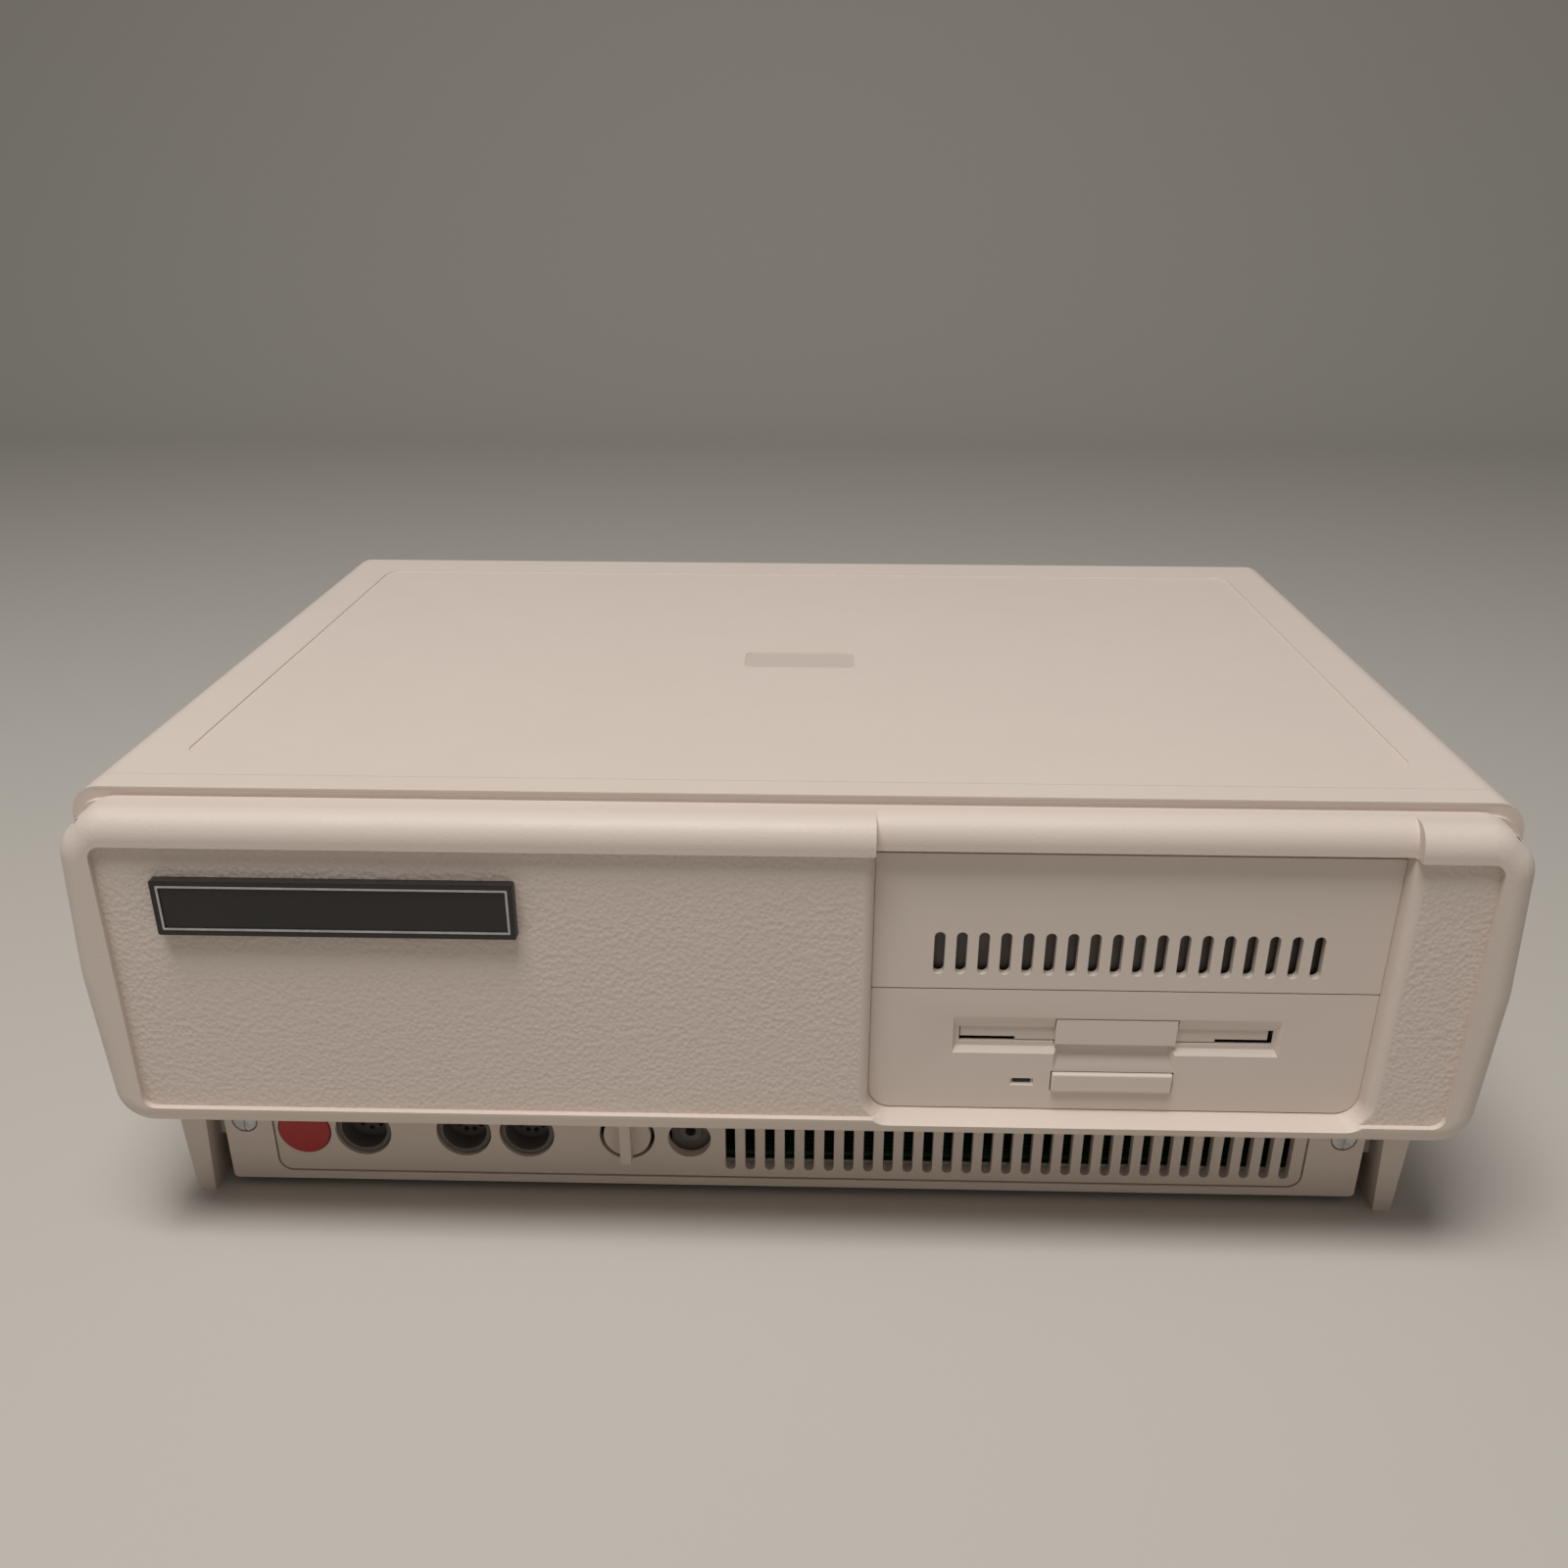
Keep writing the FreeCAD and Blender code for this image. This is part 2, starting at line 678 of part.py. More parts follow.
def base_pan():
    """Folded steel pan: floor, two side walls, front ears for the cover screws and a front lip."""
    floor = block(-pan_half, pan_half, chassis_front, rear_inside, pan_bottom, pan_floor)
    parts = []
    wall_front = leg_front + rail_body_start
    for side in (-1, 1):
        edge = sorted((side * pan_half, side * (pan_half - sheet)))
        parts.append(block(edge[0], edge[1], wall_front, rear_inside, pan_bottom, pan_wall_top))
        ear = sorted((side * (pan_half - 1.0), side * (port_flange_half + 1.0)))
        parts.append(block(ear[0], ear[1], chassis_front, chassis_front + sheet, pan_bottom,
                           cover_screw_z + 8.0))
    lip = block(-port_flange_half, port_flange_half, port_back, port_back + sheet, pan_bottom,
                pan_floor + 4.6)
    cuts = []
    for side in (-1, 1):
        cuts.append(rod_y(side * cover_screw_x, cover_screw_z, 2.0 + free_gap, chassis_front - 1.0,
                          chassis_front + sheet + 1.0))
        for d in rail_screw_depths():
            cuts.append(rod_x(d, rail_screw_z, screw_radius + screw_clear,
                              side * pan_half - 3.0, side * pan_half + 3.0))
    for x in panel_screw_places():
        cuts.append(rod_y(x, pan_floor + 2.4, screw_radius, port_back - 1.0, port_back + sheet + 1.0))
    for x, d in standoff_places():
        cuts.append(rod_z(x, d, screw_radius + screw_clear, pan_bottom - 1.0, pan_floor + 1.0))
    return single(floor.fuse(parts + [lip]).removeSplitter().cut(cuts))


rail_screw_z = 38.0


def rail_screw_depths():
    """Depths of the screws that hold each foot rail."""
    return row(leg_front + 32.0, rail_end - 20.0, 3)


def panel_screw_places():
    """Places of the screws behind the port panel."""
    return (-port_flange_half + 9.5, earphone_x + 5.5, port_flange_half - 7.9)


def standoff_places():
    """Places of the pillars under the main board, as x and depth."""
    left = -board_half + 6.0
    right = board_half - 6.0
    back = board_back - 8.0
    near_supply = board_right_back - 8.0
    return [(left, 58.0), (-60.0, 58.0), (60.0, 58.0), (right, 58.0), (left, board_step - 10.0),
            (right, board_step - 10.0), (left, back), (near_supply, back)]


def foot_rail(side):
    """Tapered leg along one side, with the runner that the cover slides on."""
    foot_in = leg_foot_inner
    foot_out = leg_foot_outer
    neck_z = runner_top - runner_thick
    out_neck = foot_out + leg_spread * neck_z
    in_high = foot_in - leg_spread * runner_top
    leg = prism_xz([(foot_in, 0, 0), (foot_out, 0, 0), (foot_out + leg_spread * runner_top, runner_top, 0),
                    (in_high, runner_top, 0)], leg_front, rail_end)
    low = pan_bottom + 10.0
    rail = prism_xz([
        (foot_in - leg_spread * low, low, 0),
        (out_neck, neck_z, 1.0),
        (runner_half, neck_z, 0.5),
        (runner_half, runner_top, 0.5),
        (out_neck - 5.0, runner_top, 0.8),
        (out_neck - 5.0, rail_top, 0.8),
        (pan_half, rail_top, 0),
        (pan_half, low, 0),
    ], leg_front + rail_body_start, rail_end)
    shape = leg.fuse(rail).removeSplitter()
    shape = shape.cut([rod_x(d, rail_screw_z, screw_radius + screw_clear, pan_half - 1.0, pan_half + 7.0)
                       for d in rail_screw_depths()])
    return single(shape) if side > 0 else single(mirror_x(shape))


def rail_screws():
    """Six screws that hold the foot rails to the pan."""
    screws = []
    for side in (-1, 1):
        for d in rail_screw_depths():
            place = Vector(side * (pan_half - sheet), y(d), rail_screw_z)
            screws.append(pan_head(place, Vector(side, 0, 0), head_radius, 1.8, screw_radius, 7.0))
    return screws


def port_panel():
    """Moulded panel with the port holes and the air slots, standing in the skirt's window."""
    pad = prism_xz(frame_corners(window_left + port_edge_gap, window_right - port_edge_gap,
                                 window_floor + port_edge_gap, window_top - port_edge_gap,
                                 window_corner - port_edge_gap), port_face, port_face + port_pad)
    flange = block(-port_flange_half, port_flange_half, port_face + port_pad, port_back,
                   pan_floor, window_top + 2.0)
    holes = [(reset_x, port_centre_z, button_radius + button_gap),
             (keyboard_x, port_centre_z, socket_hole),
             (volume_x, port_centre_z, volume_hole),
             (earphone_x, earphone_z, earphone_hole)]
    holes += [(x, port_centre_z, joystick_hole) for x in joystick_x]
    cuts = [rod_y(x, z, r, port_face - 1.0, port_back + 1.0) for x, z, r in holes]
    for x in row(vent_first, vent_last, vent_count):
        cuts.append(upright_slot(x, vent_floor, vent_top, vent_width, port_face - 1.0, port_back + 1.0))
    for x in panel_screw_places():
        cuts.append(rod_y(x, pan_floor + 2.4, screw_radius, port_back - 3.0, port_back + 1.0))
    return single(pad.fuse(flange).cut(cuts))


def panel_screws():
    """Three screws that hold the port panel to the pan's lip from behind."""
    seat = port_back + sheet
    return [pan_head(Vector(x, y(seat), pan_floor + 2.4), Vector(0, -1, 0), 2.2, 1.2,
                     screw_radius - screw_clear, sheet + 2.6) for x in panel_screw_places()]


def round_socket(x, hole, pins):
    """Round multi-pin socket: block on the board, collar in the panel hole, and a well with pin holes."""
    collar = hole - 0.4
    face = port_face + 1.5
    body = block(x - collar, x + collar, port_back + 0.2, port_back + 14.0, board_top,
                 port_centre_z + collar)
    body = body.fuse(rod_y(x, port_centre_z, collar, face, port_back + 1.0))
    well = rod_y(x, port_centre_z, collar - 1.5, face - 1.0, face + 8.0)
    cuts = [well]
    for i in range(pins):
        turn = math.radians(180.0 + 180.0 * i / (pins - 1))
        px = x + 4.6 * math.cos(turn)
        pz = port_centre_z + 4.6 * math.sin(turn)
        cuts.append(rod_y(px, pz, 0.9, face + 7.0, face + 12.0))
    return single(body.cut(cuts))


def keyboard_socket():
    """Five-pin round socket for the keyboard."""
    return round_socket(keyboard_x, socket_hole, 5)


def joystick_sockets():
    """Two six-pin round sockets for joysticks."""
    return group([round_socket(x, joystick_hole, 6) for x in joystick_x])


def earphone_socket():
    """Small jack behind a round recess."""
    face = port_face + 4.6
    body = block(earphone_x - 6.5, earphone_x + 6.5, face + 0.6, face + 13.0, board_top, earphone_z + 6.5)
    body = body.fuse(rod_y(earphone_x, earphone_z, 4.0, face, face + 1.0))
    return single(body.cut(rod_y(earphone_x, earphone_z, 1.8, face - 1.0, face + 11.0)))


def volume_control():
    """Rotary control behind the panel, with the bush that carries the knob's shaft."""
    face = port_back + 1.0
    body = block(volume_x - 8.5, volume_x + 8.5, face, face + 8.0, board_top, port_centre_z + 9.0)
    return single(body.cut(rod_y(volume_x, port_centre_z, 3.0 + running_gap, face - 1.0, face + 7.0)))


def volume_knob():
    """Round knob with a straight finger bar, on its shaft."""
    disc = rod_y(volume_x, port_centre_z, 8.0, port_face - 0.2, port_face + 3.0)
    bar = block(volume_x - 1.8, volume_x + 1.8, port_face - 6.3, port_face, port_centre_z - 7.6,
                port_centre_z + 7.6)
    shaft = rod_y(volume_x, port_centre_z, 3.0, port_face + 2.5, port_back + 7.5)
    return single(disc.fuse([bar, shaft]))


def reset_switch():
    """Push switch on the board, behind the reset button."""
    face = port_back + 2.4
    body = block(reset_x - 7.0, reset_x + 7.0, face, face + 12.0, board_top, port_centre_z + 8.0)
    return single(body.cut(rod_y(reset_x, port_centre_z, 2.5 + free_gap, face - 1.0, face + 9.5)))


def reset_button():
    """Round button that the user pushes in, with its stem in the switch."""
    cap = rod_y(reset_x, port_centre_z, button_radius, port_face - 0.6, port_face + 3.0)
    stem = rod_y(reset_x, port_centre_z, 2.5, port_face + 2.5, port_back + 7.0)
    return single(cap.fuse(stem))


def main_board():
    """Circuit board that narrows beside the power supply."""
    corners = [(-board_half, board_front, 2.0), (board_half, board_front, 2.0),
               (board_half, board_step, 2.0), (board_right_back, board_step, 2.0),
               (board_right_back, board_back, 2.0), (-board_half, board_back, 2.0)]
    board = prism_xd(corners, board_bottom, board_top)
    return single(board.cut([rod_z(x, d, screw_radius + screw_clear, board_bottom - 1.0, board_top + 1.0)
                             for x, d in standoff_places()]))


def board_standoffs():
    """Pillars between the pan and the board."""
    pillars = []
    for x, d in standoff_places():
        pillar = rod_z(x, d, 3.0, pan_floor, board_bottom)
        pillars.append(pillar.cut(rod_z(x, d, screw_radius + screw_clear, pan_floor - 1.0,
                                        board_bottom + 1.0)))
    return group(pillars)


def board_screws():
    """Screws through the board and its pillars."""
    return [pan_head(Vector(x, y(d), board_top), Vector(0, 0, -1), head_radius, 1.8, screw_radius,
                     board_top - pan_bottom) for x, d in standoff_places()]


def chip(x, d, width, length, height):
    """Chip in its socket, with the notch that marks its first pin."""
    body = block(x - width / 2, x + width / 2, d, d + length, board_top, board_top + height)
    return body.cut(rod_z(x, d, 1.2, board_top + height - 0.6, board_top + height + 1.0))


def processor_chips():
    """Large chips: the processor, its helper and the sound, video and disk controllers."""
    places = [(-30.0, 90.0, 14.0, 52.0, 6.0), (10.0, 90.0, 14.0, 52.0, 6.0),
              (60.0, 72.0, 28.0, 28.0, 5.0), (60.0, 118.0, 28.0, 28.0, 5.0),
              (110.0, 80.0, 14.0, 36.0, 5.0), (-10.0, 210.0, 14.0, 36.0, 5.0),
              (30.0, 210.0, 14.0, 36.0, 5.0), (140.0, 100.0, 14.0, 28.0, 5.0)]
    return group([chip(*place) for place in places])


def memory_chips():
    """Three rows of small memory chips."""
    chips = []
    for d in row(74.0, 138.0, 3):
        for x in row(14.0 - board_half, 112.0 - board_half, 8):
            chips.append(chip(x, d, 7.6, 19.0, 4.4))
    return group(chips)


def slot_places():
    """X of each expansion slot."""
    return [slot_first + slot_pitch * i for i in range(slot_count)]


def expansion_connectors():
    """Edge connectors for expansion cards."""
    parts = []
    back = board_back - 16.0
    for x in slot_places():
        body = block(x - connector_width / 2, x + connector_width / 2, back - connector_length, back,
                     board_top, board_top + connector_height)
        groove = block(x - 0.9, x + 0.9, back - connector_length + 3.0, back - 3.0,
                       board_top + connector_height - 9.0, board_top + connector_height + 1.0)
        parts.append(body.cut(groove))
    return group(parts)


def rear_socket_places():
    """X of the rear sockets and the half widths of their openings."""
    return {"printer": (48.0, 20.5), "monitor": (-12.0, 10.0), "phono": ((-46.0, 5.5), (-64.0, 5.5))}


socket_z = 21.0


def rear_panel():
    """Steel rear panel with openings for cards, sockets and the power supply."""
    corners = [(-pan_half, pan_bottom, 0), (pan_half, pan_bottom, 0), (pan_half, pan_wall_top, 0),
               (rear_half, pan_wall_top, 2.0), (rear_half, rear_top, 6.0), (-rear_half, rear_top, 6.0),
               (-rear_half, pan_wall_top, 2.0), (-pan_half, pan_wall_top, 0)]
    panel = prism_xz(corners, rear_inside, rear_face)
    cuts = []
    for x in slot_places():
        cuts.append(upright_slot(x, 44.0, rear_top - 10.0, 13.0, rear_inside - 1.0, rear_face + 1.0))
    cuts.append(prism_xz(frame_corners(supply_left + 4.0, supply_right - 4.0, pan_floor + 4.0,
                                       supply_top - 2.0, 3.0), rear_inside - 1.0, rear_face + 1.0))
    places = rear_socket_places()
    for x, wide in [places["printer"], places["monitor"]] + list(places["phono"]):
        cuts.append(block(x - wide, x + wide, rear_inside - 1.0, rear_face + 1.0, socket_z - 5.6,
                          socket_z + 5.6))
    return single(panel.cut(cuts))


def bracket_rail():
    """Folded strip along the top of the rear panel that takes the screws of the card brackets."""
    first = slot_places()[0] - bracket_width
    last = slot_places()[-1] + bracket_width
    top = block(first, last, rear_inside - 14.0, rear_inside, rear_top - sheet, rear_top)
    fold = block(first, last, rear_inside - sheet, rear_inside, rear_top - 8.0, rear_top)
    holes = [rod_z(x, rear_inside - 6.0, screw_radius + screw_clear, rear_top - 3.0, rear_top + 1.0)
             for x in slot_places()]
    return single(top.fuse(fold).removeSplitter().cut(holes))


def slot_brackets():
    """Blank plates over the card openings, each with a tab on the panel's ledge."""
    parts = []
    for x in slot_places():
        half = bracket_width / 2
        blade = prism_xz([(x - half, rear_top + bracket_thick, 0), (x - half, 38.0, 0),
                          (x - half + 3.0, 34.0, 0), (x + half - 3.0, 34.0, 0), (x + half, 38.0, 0),
                          (x + half, rear_top + bracket_thick, 0)], rear_face, rear_face + bracket_thick)
        tab = block(x - half, x + half, rear_inside - 11.0, rear_face + bracket_thick, rear_top,
                    rear_top + bracket_thick)
        hole = rod_z(x, rear_inside - 6.0, screw_radius + screw_clear, rear_top - 1.0, rear_top + 3.0)
        parts.append(single(blade.fuse(tab).removeSplitter().cut(hole)))
    return group(parts)


def bracket_screws():
    """One screw on each bracket's tab."""
    return [pan_head(Vector(x, y(rear_inside - 6.0), rear_top + bracket_thick), Vector(0, 0, -1),
                     head_radius, 1.6, screw_radius, 6.0) for x in slot_places()]


def chassis_screws():
    """All the small screws of the chassis in one node."""
    return group(rail_screws() + panel_screws() + board_screws() + bracket_screws())


def d_socket(x, shell_half, pins):
    """Two-row socket with a slanted metal shell, a flange, two screw posts and a body on the board."""
    flange_half = shell_half + 7.2
    body = block(x - shell_half - 0.8, x + shell_half + 0.8, rear_inside - 14.0, rear_inside - 0.3, board_top,
                 socket_z + 5.4)
    neck = block(x - shell_half - 0.8, x + shell_half + 0.8, rear_inside - 1.0, rear_face + 0.5, socket_z - 5.2,
                 socket_z + 5.2)
    flange = prism_xz(frame_corners(x - flange_half, x + flange_half, socket_z - 6.2, socket_z + 6.2, 1.5),
                      rear_face, rear_face + 1.0)
    shell = prism_xz([(x - shell_half + 1.0, socket_z - 4.1, 1.2), (x + shell_half - 1.0, socket_z - 4.1, 1.2),
                      (x + shell_half, socket_z + 4.1, 1.2), (x - shell_half, socket_z + 4.1, 1.2)],
                     rear_face + 0.5, rear_face + 6.0)
    posts = [rod_y(x + side * (flange_half - 3.2), socket_z, 2.2, rear_face + 0.5, rear_face + 5.5)
             for side in (-1, 1)]
    shape = body.fuse([neck, flange, shell] + posts)
    upper = (pins + 1) // 2
    holes = []
    for line, count in ((1, upper), (-1, pins - upper)):
        for i in range(count):
            px = x + (i - (count - 1) / 2) * 2.76
            holes.append(rod_y(px, socket_z + line * 1.42, 0.55, rear_face + 1.0, rear_face + 7.0))
    return single(shape.cut(holes))


def monitor_socket():
    """Nine-hole socket for the monitor."""
    return d_socket(rear_socket_places()["monitor"][0], 8.5, 9)


def printer_socket():
    """Twenty-five-hole socket for the printer."""
    return d_socket(rear_socket_places()["printer"][0], 19.3, 25)


def phono_sockets():
    """Two phono sockets for sound and picture."""
    parts = []
    for x, wide in rear_socket_places()["phono"]:
        body = block(x - wide + 0.4, x + wide - 0.4, rear_inside - 12.0, rear_inside - 0.3, board_top,
                     socket_z + 5.2)
        neck = block(x - wide + 0.4, x + wide - 0.4, rear_inside - 1.0, rear_face + 0.5, socket_z - 5.2,
                     socket_z + 5.2)
        flange = block(x - wide - 1.0, x + wide + 1.0, rear_face, rear_face + 1.0, socket_z - 6.5, socket_z + 6.5)
        barrel = rod_y(x, socket_z, 4.15, rear_face + 0.5, depth_end)
        hole = rod_y(x, socket_z, 1.7, rear_face - 4.0, depth_end + 1.0)
        parts.append(single(body.fuse([neck, flange, barrel]).cut(hole)))
    return group(parts)


def drive_shelf():
    """Steel shelf across the pan that carries the drive cage."""
    plate = block(cage_left - 4.0, pan_half, shelf_front, shelf_back, pan_wall_top, shelf_top)
    parts = []
    for d in (shelf_front, shelf_back - 22.0):
        parts.append(block(-pan_half, cage_left, d, d + 20.0, pan_wall_top, shelf_top))
        parts.append(block(-pan_half + sheet, -pan_half + 2 * sheet, d, d + 20.0, pan_wall_top - 6.0, shelf_top))
    parts.append(block(pan_half - 2 * sheet, pan_half - sheet, shelf_front, shelf_back,
                       pan_wall_top - 6.0, shelf_top))
    return single(plate.fuse(parts).removeSplitter())


def drive_screw_places():
    """Depth and height of the screws on each side of the cage."""
    return [(cage_front + 30.0, shelf_top + 14.0), (cage_front + 125.0, shelf_top + 14.0)]


def drive_cage():
    """Steel cage round the two drive positions, open at the front and the back."""
    back = cage_front + cage_length
    outer = block(cage_left, cage_right, cage_front, back, shelf_top, cage_top)
    inner = block(cage_left + sheet, cage_right - sheet, cage_front - 1.0, back + 1.0,
                  shelf_top + sheet, cage_top - sheet)
    holes = [rod_x(d, z, screw_radius + screw_clear, x - 3.0, x + 3.0)
             for d, z in drive_screw_places() for x in (cage_left, cage_right)]
    windows = [block(cage_left - 1.0, cage_right + 1.0, d - 14.0, d + 14.0, bay_split + 12.0, bay_split + 24.0)
               for d in (cage_front + 130.0,)]
    return single(outer.cut([inner] + holes + windows))


def drive_tray():
    """Folded tray that carries the narrow drive in the wide bay."""
    left = cage_left + sheet
    right = cage_right - sheet
    front = cage_front + 11.0
    back = cage_front + cage_length - 12.0
    wall_top = tray_top + 22.0
    floor = block(left, right, front, back, tray_top - sheet, tray_top)
    walls = [block(left, left + sheet, front, back, tray_top - sheet, wall_top),
             block(right - sheet, right, front, back, tray_top - sheet, wall_top)]
    holes = [rod_x(d, z, screw_radius + screw_clear, x - 3.0, x + 3.0)
             for d, z in drive_screw_places() for x in (left, right)]
    return single(floor.fuse(walls).removeSplitter().cut(holes))


def drive_screws():
    """Four screws through the cage into the tray."""
    screws = []
    for d, z in drive_screw_places():
        screws.append(pan_head(Vector(cage_left, y(d), z), Vector(1, 0, 0), head_radius, head_thick,
                               screw_radius, 5.0))
        screws.append(pan_head(Vector(cage_right, y(d), z), Vector(-1, 0, 0), head_radius, head_thick,
                               screw_radius, 5.0))
    return group(screws)


def bay_panel_blank(z0, z1, low_corner, high_corner):
    """Plain panel that fills part of the bay, with two tabs that grip the cage."""
    left = bay_left + bay_gap
    right = bay_right - bay_gap
    face = prism_xz([(left, z0, low_corner), (right, z0, low_corner), (right, z1, high_corner),
                     (left, z1, high_corner)], bay_setback, bay_setback + panel_thick)
    grip_left = cage_left + sheet + free_gap
    grip_right = cage_right - sheet - free_gap
    middle = (z0 + z1) / 2
    tabs = [block(grip_left, grip_left + 1.8, bay_setback + 1.0, cage_front + 8.0, middle - 9.0, middle + 9.0),
            block(grip_right - 1.8, grip_right, bay_setback + 1.0, cage_front + 8.0, middle - 9.0, middle + 9.0)]
    return face.fuse(tabs)


def bay_blank_panel():
    """Upper bay panel with a row of upright air slots."""
    panel = bay_panel_blank(bay_split + 0.2, bay_top - blank_top_gap, 0.4, 0.4)
    cuts = [upright_slot(x, blank_vent_floor, blank_vent_top, blank_vent_width, bay_setback - 1.0,
                         bay_setback + panel_thick + 1.0)
            for x in row(blank_vent_first, blank_vent_last, blank_vents)]
    return single(panel.cut(cuts))


def drive_front_panel():
    """Drive front with the disk mouth, the finger notch, the button opening and the lamp window."""
    panel = bay_panel_blank(bay_floor + 0.4, bay_split - 0.2, bay_corner - bay_gap, 0.4)
    face = bay_setback
    back = face + panel_thick

    def funnel(half, low, high, half_back, low_back, high_back, deep):
        """Sunk space whose edges run in from the face to a smaller outline behind it."""
        def section(share):
            def at(front_value, back_value):
                return front_value + (back_value - front_value) * share
            reach = at(half, half_back)
            corners = frame_corners(drive_x - reach, drive_x + reach, at(low, low_back),
                                    at(high, high_back), 0)
            return rounded_wire(corners, lambda p: Vector(p.x, y(face + deep * share), p.y))
        return Part.makeLoft([section(-0.3), section(1.0)], True, True)
    mouth = funnel(mouth_half, mouth_floor, mouth_top, mouth_half - 1.0, mouth_floor + mouth_ramp,
                   slot_top, mouth_depth)
    notch = funnel(notch_half, notch_floor, slot_top - 1.0, notch_half_back, notch_floor_back,
                   slot_top - 1.0, notch_depth)
    slot = block(drive_x - slot_half, drive_x + slot_half, face - 1.0, back + 1.0, slot_floor, slot_top)
    block_space = door_block_half + door_block_gap
    swing = block(drive_x - block_space, drive_x + block_space, face - 1.0, back + 1.0,
                  door_block_low - 0.6, door_block_top + door_block_gap)
    pocket = block(drive_x - slot_half - door_gap, drive_x + slot_half + door_gap, face + pocket_depth,
                   back + 4.0, slot_floor, mouth_top)
    button = block(drive_x - eject_half - eject_gap, drive_x + eject_half + eject_gap, face - 1.0, back + 1.0,
                   eject_floor - eject_gap, eject_floor + eject_height + eject_gap)
    lamp_seat = prism_dz([(face - 1.0, lens_z - lamp_seat_low, 0), (face, lens_z - lamp_seat_low, 0),
                          (face + lamp_seat_depth, lens_z - lens_radius - 0.1, 0),
                          (face + lamp_seat_depth, lens_z + lamp_seat_high, 0),
                          (face - 1.0, lens_z + lamp_seat_high, 0)],
                         lens_x - lamp_seat_half, lens_x + lamp_seat_half)
    lamp = lens_shape(0.05, face - 1.0, back + 1.0)
    ears = []
    for side in (-1, 1):
        inner = drive_x + side * (slot_half + door_gap)
        low, high = sorted((inner, inner + side * ear_width))
        ears.append(block(low, high, back - 0.5, back + 1.5, door_hinge_z - 2.4, door_hinge_z + 2.6))
    bore_reach = slot_half + pin_reach + 0.1
    pin_bore = rod_x(door_hinge_d, door_hinge_z, pin_radius + running_gap, drive_x - bore_reach,
                     drive_x + bore_reach)
    return single(panel.fuse(ears).cut([mouth, notch, slot, swing, pocket, button, lamp_seat, lamp,
                                        pin_bore]))


def lens_shape(grow, d0, d1):
    """Small oblong with round ends for the lamp."""
    radius = lens_radius + grow
    flat = lens_half - lens_radius
    middle = block(lens_x - flat, lens_x + flat, d0, d1, lens_z - radius, lens_z + radius)
    ends = [rod_y(lens_x + side * flat, lens_z, radius, d0, d1) for side in (-1, 1)]
    return middle.fuse(ends).removeSplitter()


def indicator_lens():
    """Dark lens of the drive's lamp."""
    return single(lens_shape(0.0, bay_setback + lamp_seat_depth - 0.2, bay_setback + panel_thick + 2.0))


def drive_door():
    """Flap that closes the disk mouth: a thin plate with a block in its middle, on two hinge pins."""
    reach = slot_half - door_gap
    front = bay_setback + door_depth
    low = slot_floor + 0.4
    flap = block(drive_x - reach, drive_x + reach - 1.0, front, front + door_thick, low, door_hinge_z)
    barrel = rod_x(door_hinge_d, door_hinge_z, door_thick / 2 + 0.05, drive_x - reach, drive_x + reach)
    pins = rod_x(door_hinge_d, door_hinge_z, pin_radius, drive_x - slot_half - pin_reach,
                 drive_x + slot_half + pin_reach)
    middle = block(drive_x - door_block_half, drive_x + door_block_half, bay_setback + 0.2,
                   front + door_thick / 2, door_block_low, door_block_top)
    soft = [e for e in middle.Edges if e.BoundBox.YMax < y(bay_setback + 0.2) + 0.001]
    middle = middle.makeFillet(0.4, soft)
    reliefs = [block(drive_x - reach - 1.0, drive_x - reach + door_relief_length, front - 1.0,
                     front + door_thick + 1.0, low - 1.0, low + door_relief),
               block(drive_x + reach - door_relief_length, drive_x + reach + 1.0, front - 1.0,
                     front + door_thick + 1.0, low - 1.0, low + door_relief)]
    return single(flap.cut(reliefs).fuse([barrel, pins, middle]))


def eject_button():
    """Long push button under the disk mouth, with its push rod."""
    cap = block(drive_x - eject_half, drive_x + eject_half, bay_setback - eject_proud,
                bay_setback + panel_thick + 1.5, eject_floor, eject_floor + eject_height)
    soft = [e for e in cap.Edges if e.BoundBox.YMax < y(bay_setback - eject_proud) + 0.001]
    cap = cap.makeFillet(0.8, soft)
    rod = block(drive_x - 4.0, drive_x + 4.0, bay_setback + panel_thick + 1.0, bay_setback + 12.0,
                eject_floor + 2.0, eject_floor + 5.0)
    return single(cap.fuse(rod))


spindle_d = frame_front + 54.0
carriage_d = frame_front + 104.0
rod_z_place = deck + 7.5
rod_offset = 18.0
screw_offset = 38.0


def drive_frame():
    """Cast frame of the drive: floor, side walls and the posts that hold rods and screw."""
    left = drive_x - frame_half
    right = drive_x + frame_half
    back = frame_front + frame_length
    floor = block(left, right, frame_front, back, frame_floor, deck)
    walls = [block(left, left + frame_wall, frame_front, back, frame_floor, frame_top),
             block(right - frame_wall, right, frame_front, back, frame_floor, frame_top)]
    posts = []
    cuts = []
    for d in (carriage_d - carriage_travel - 6.0, carriage_d + 32.0):
        for side in (-1, 1):
            x = drive_x + side * rod_offset
            posts.append(block(x - 3.0, x + 3.0, d, d + 4.0, deck - 0.5, rod_z_place + 3.0))
            cuts.append(rod_y(x, rod_z_place, 1.5, d - 1.0, d + 5.0))
    cuts.append(block(drive_x - eject_half - 1.0, drive_x + eject_half + 1.0, frame_front - 1.0,
                      frame_front + eject_travel + 1.0, frame_floor - 1.0, deck + 1.0))
    x = drive_x + screw_offset
    front_post = carriage_d - carriage_travel - 6.0
    posts.append(block(x - 3.5, x + 3.5, front_post, front_post + 4.0, deck - 0.5, rod_z_place + 3.5))
    cuts.append(rod_y(x, rod_z_place, 2.0 + running_gap, front_post - 1.0, front_post + 5.0))
    return single(floor.fuse(walls + posts).removeSplitter().cut(cuts))


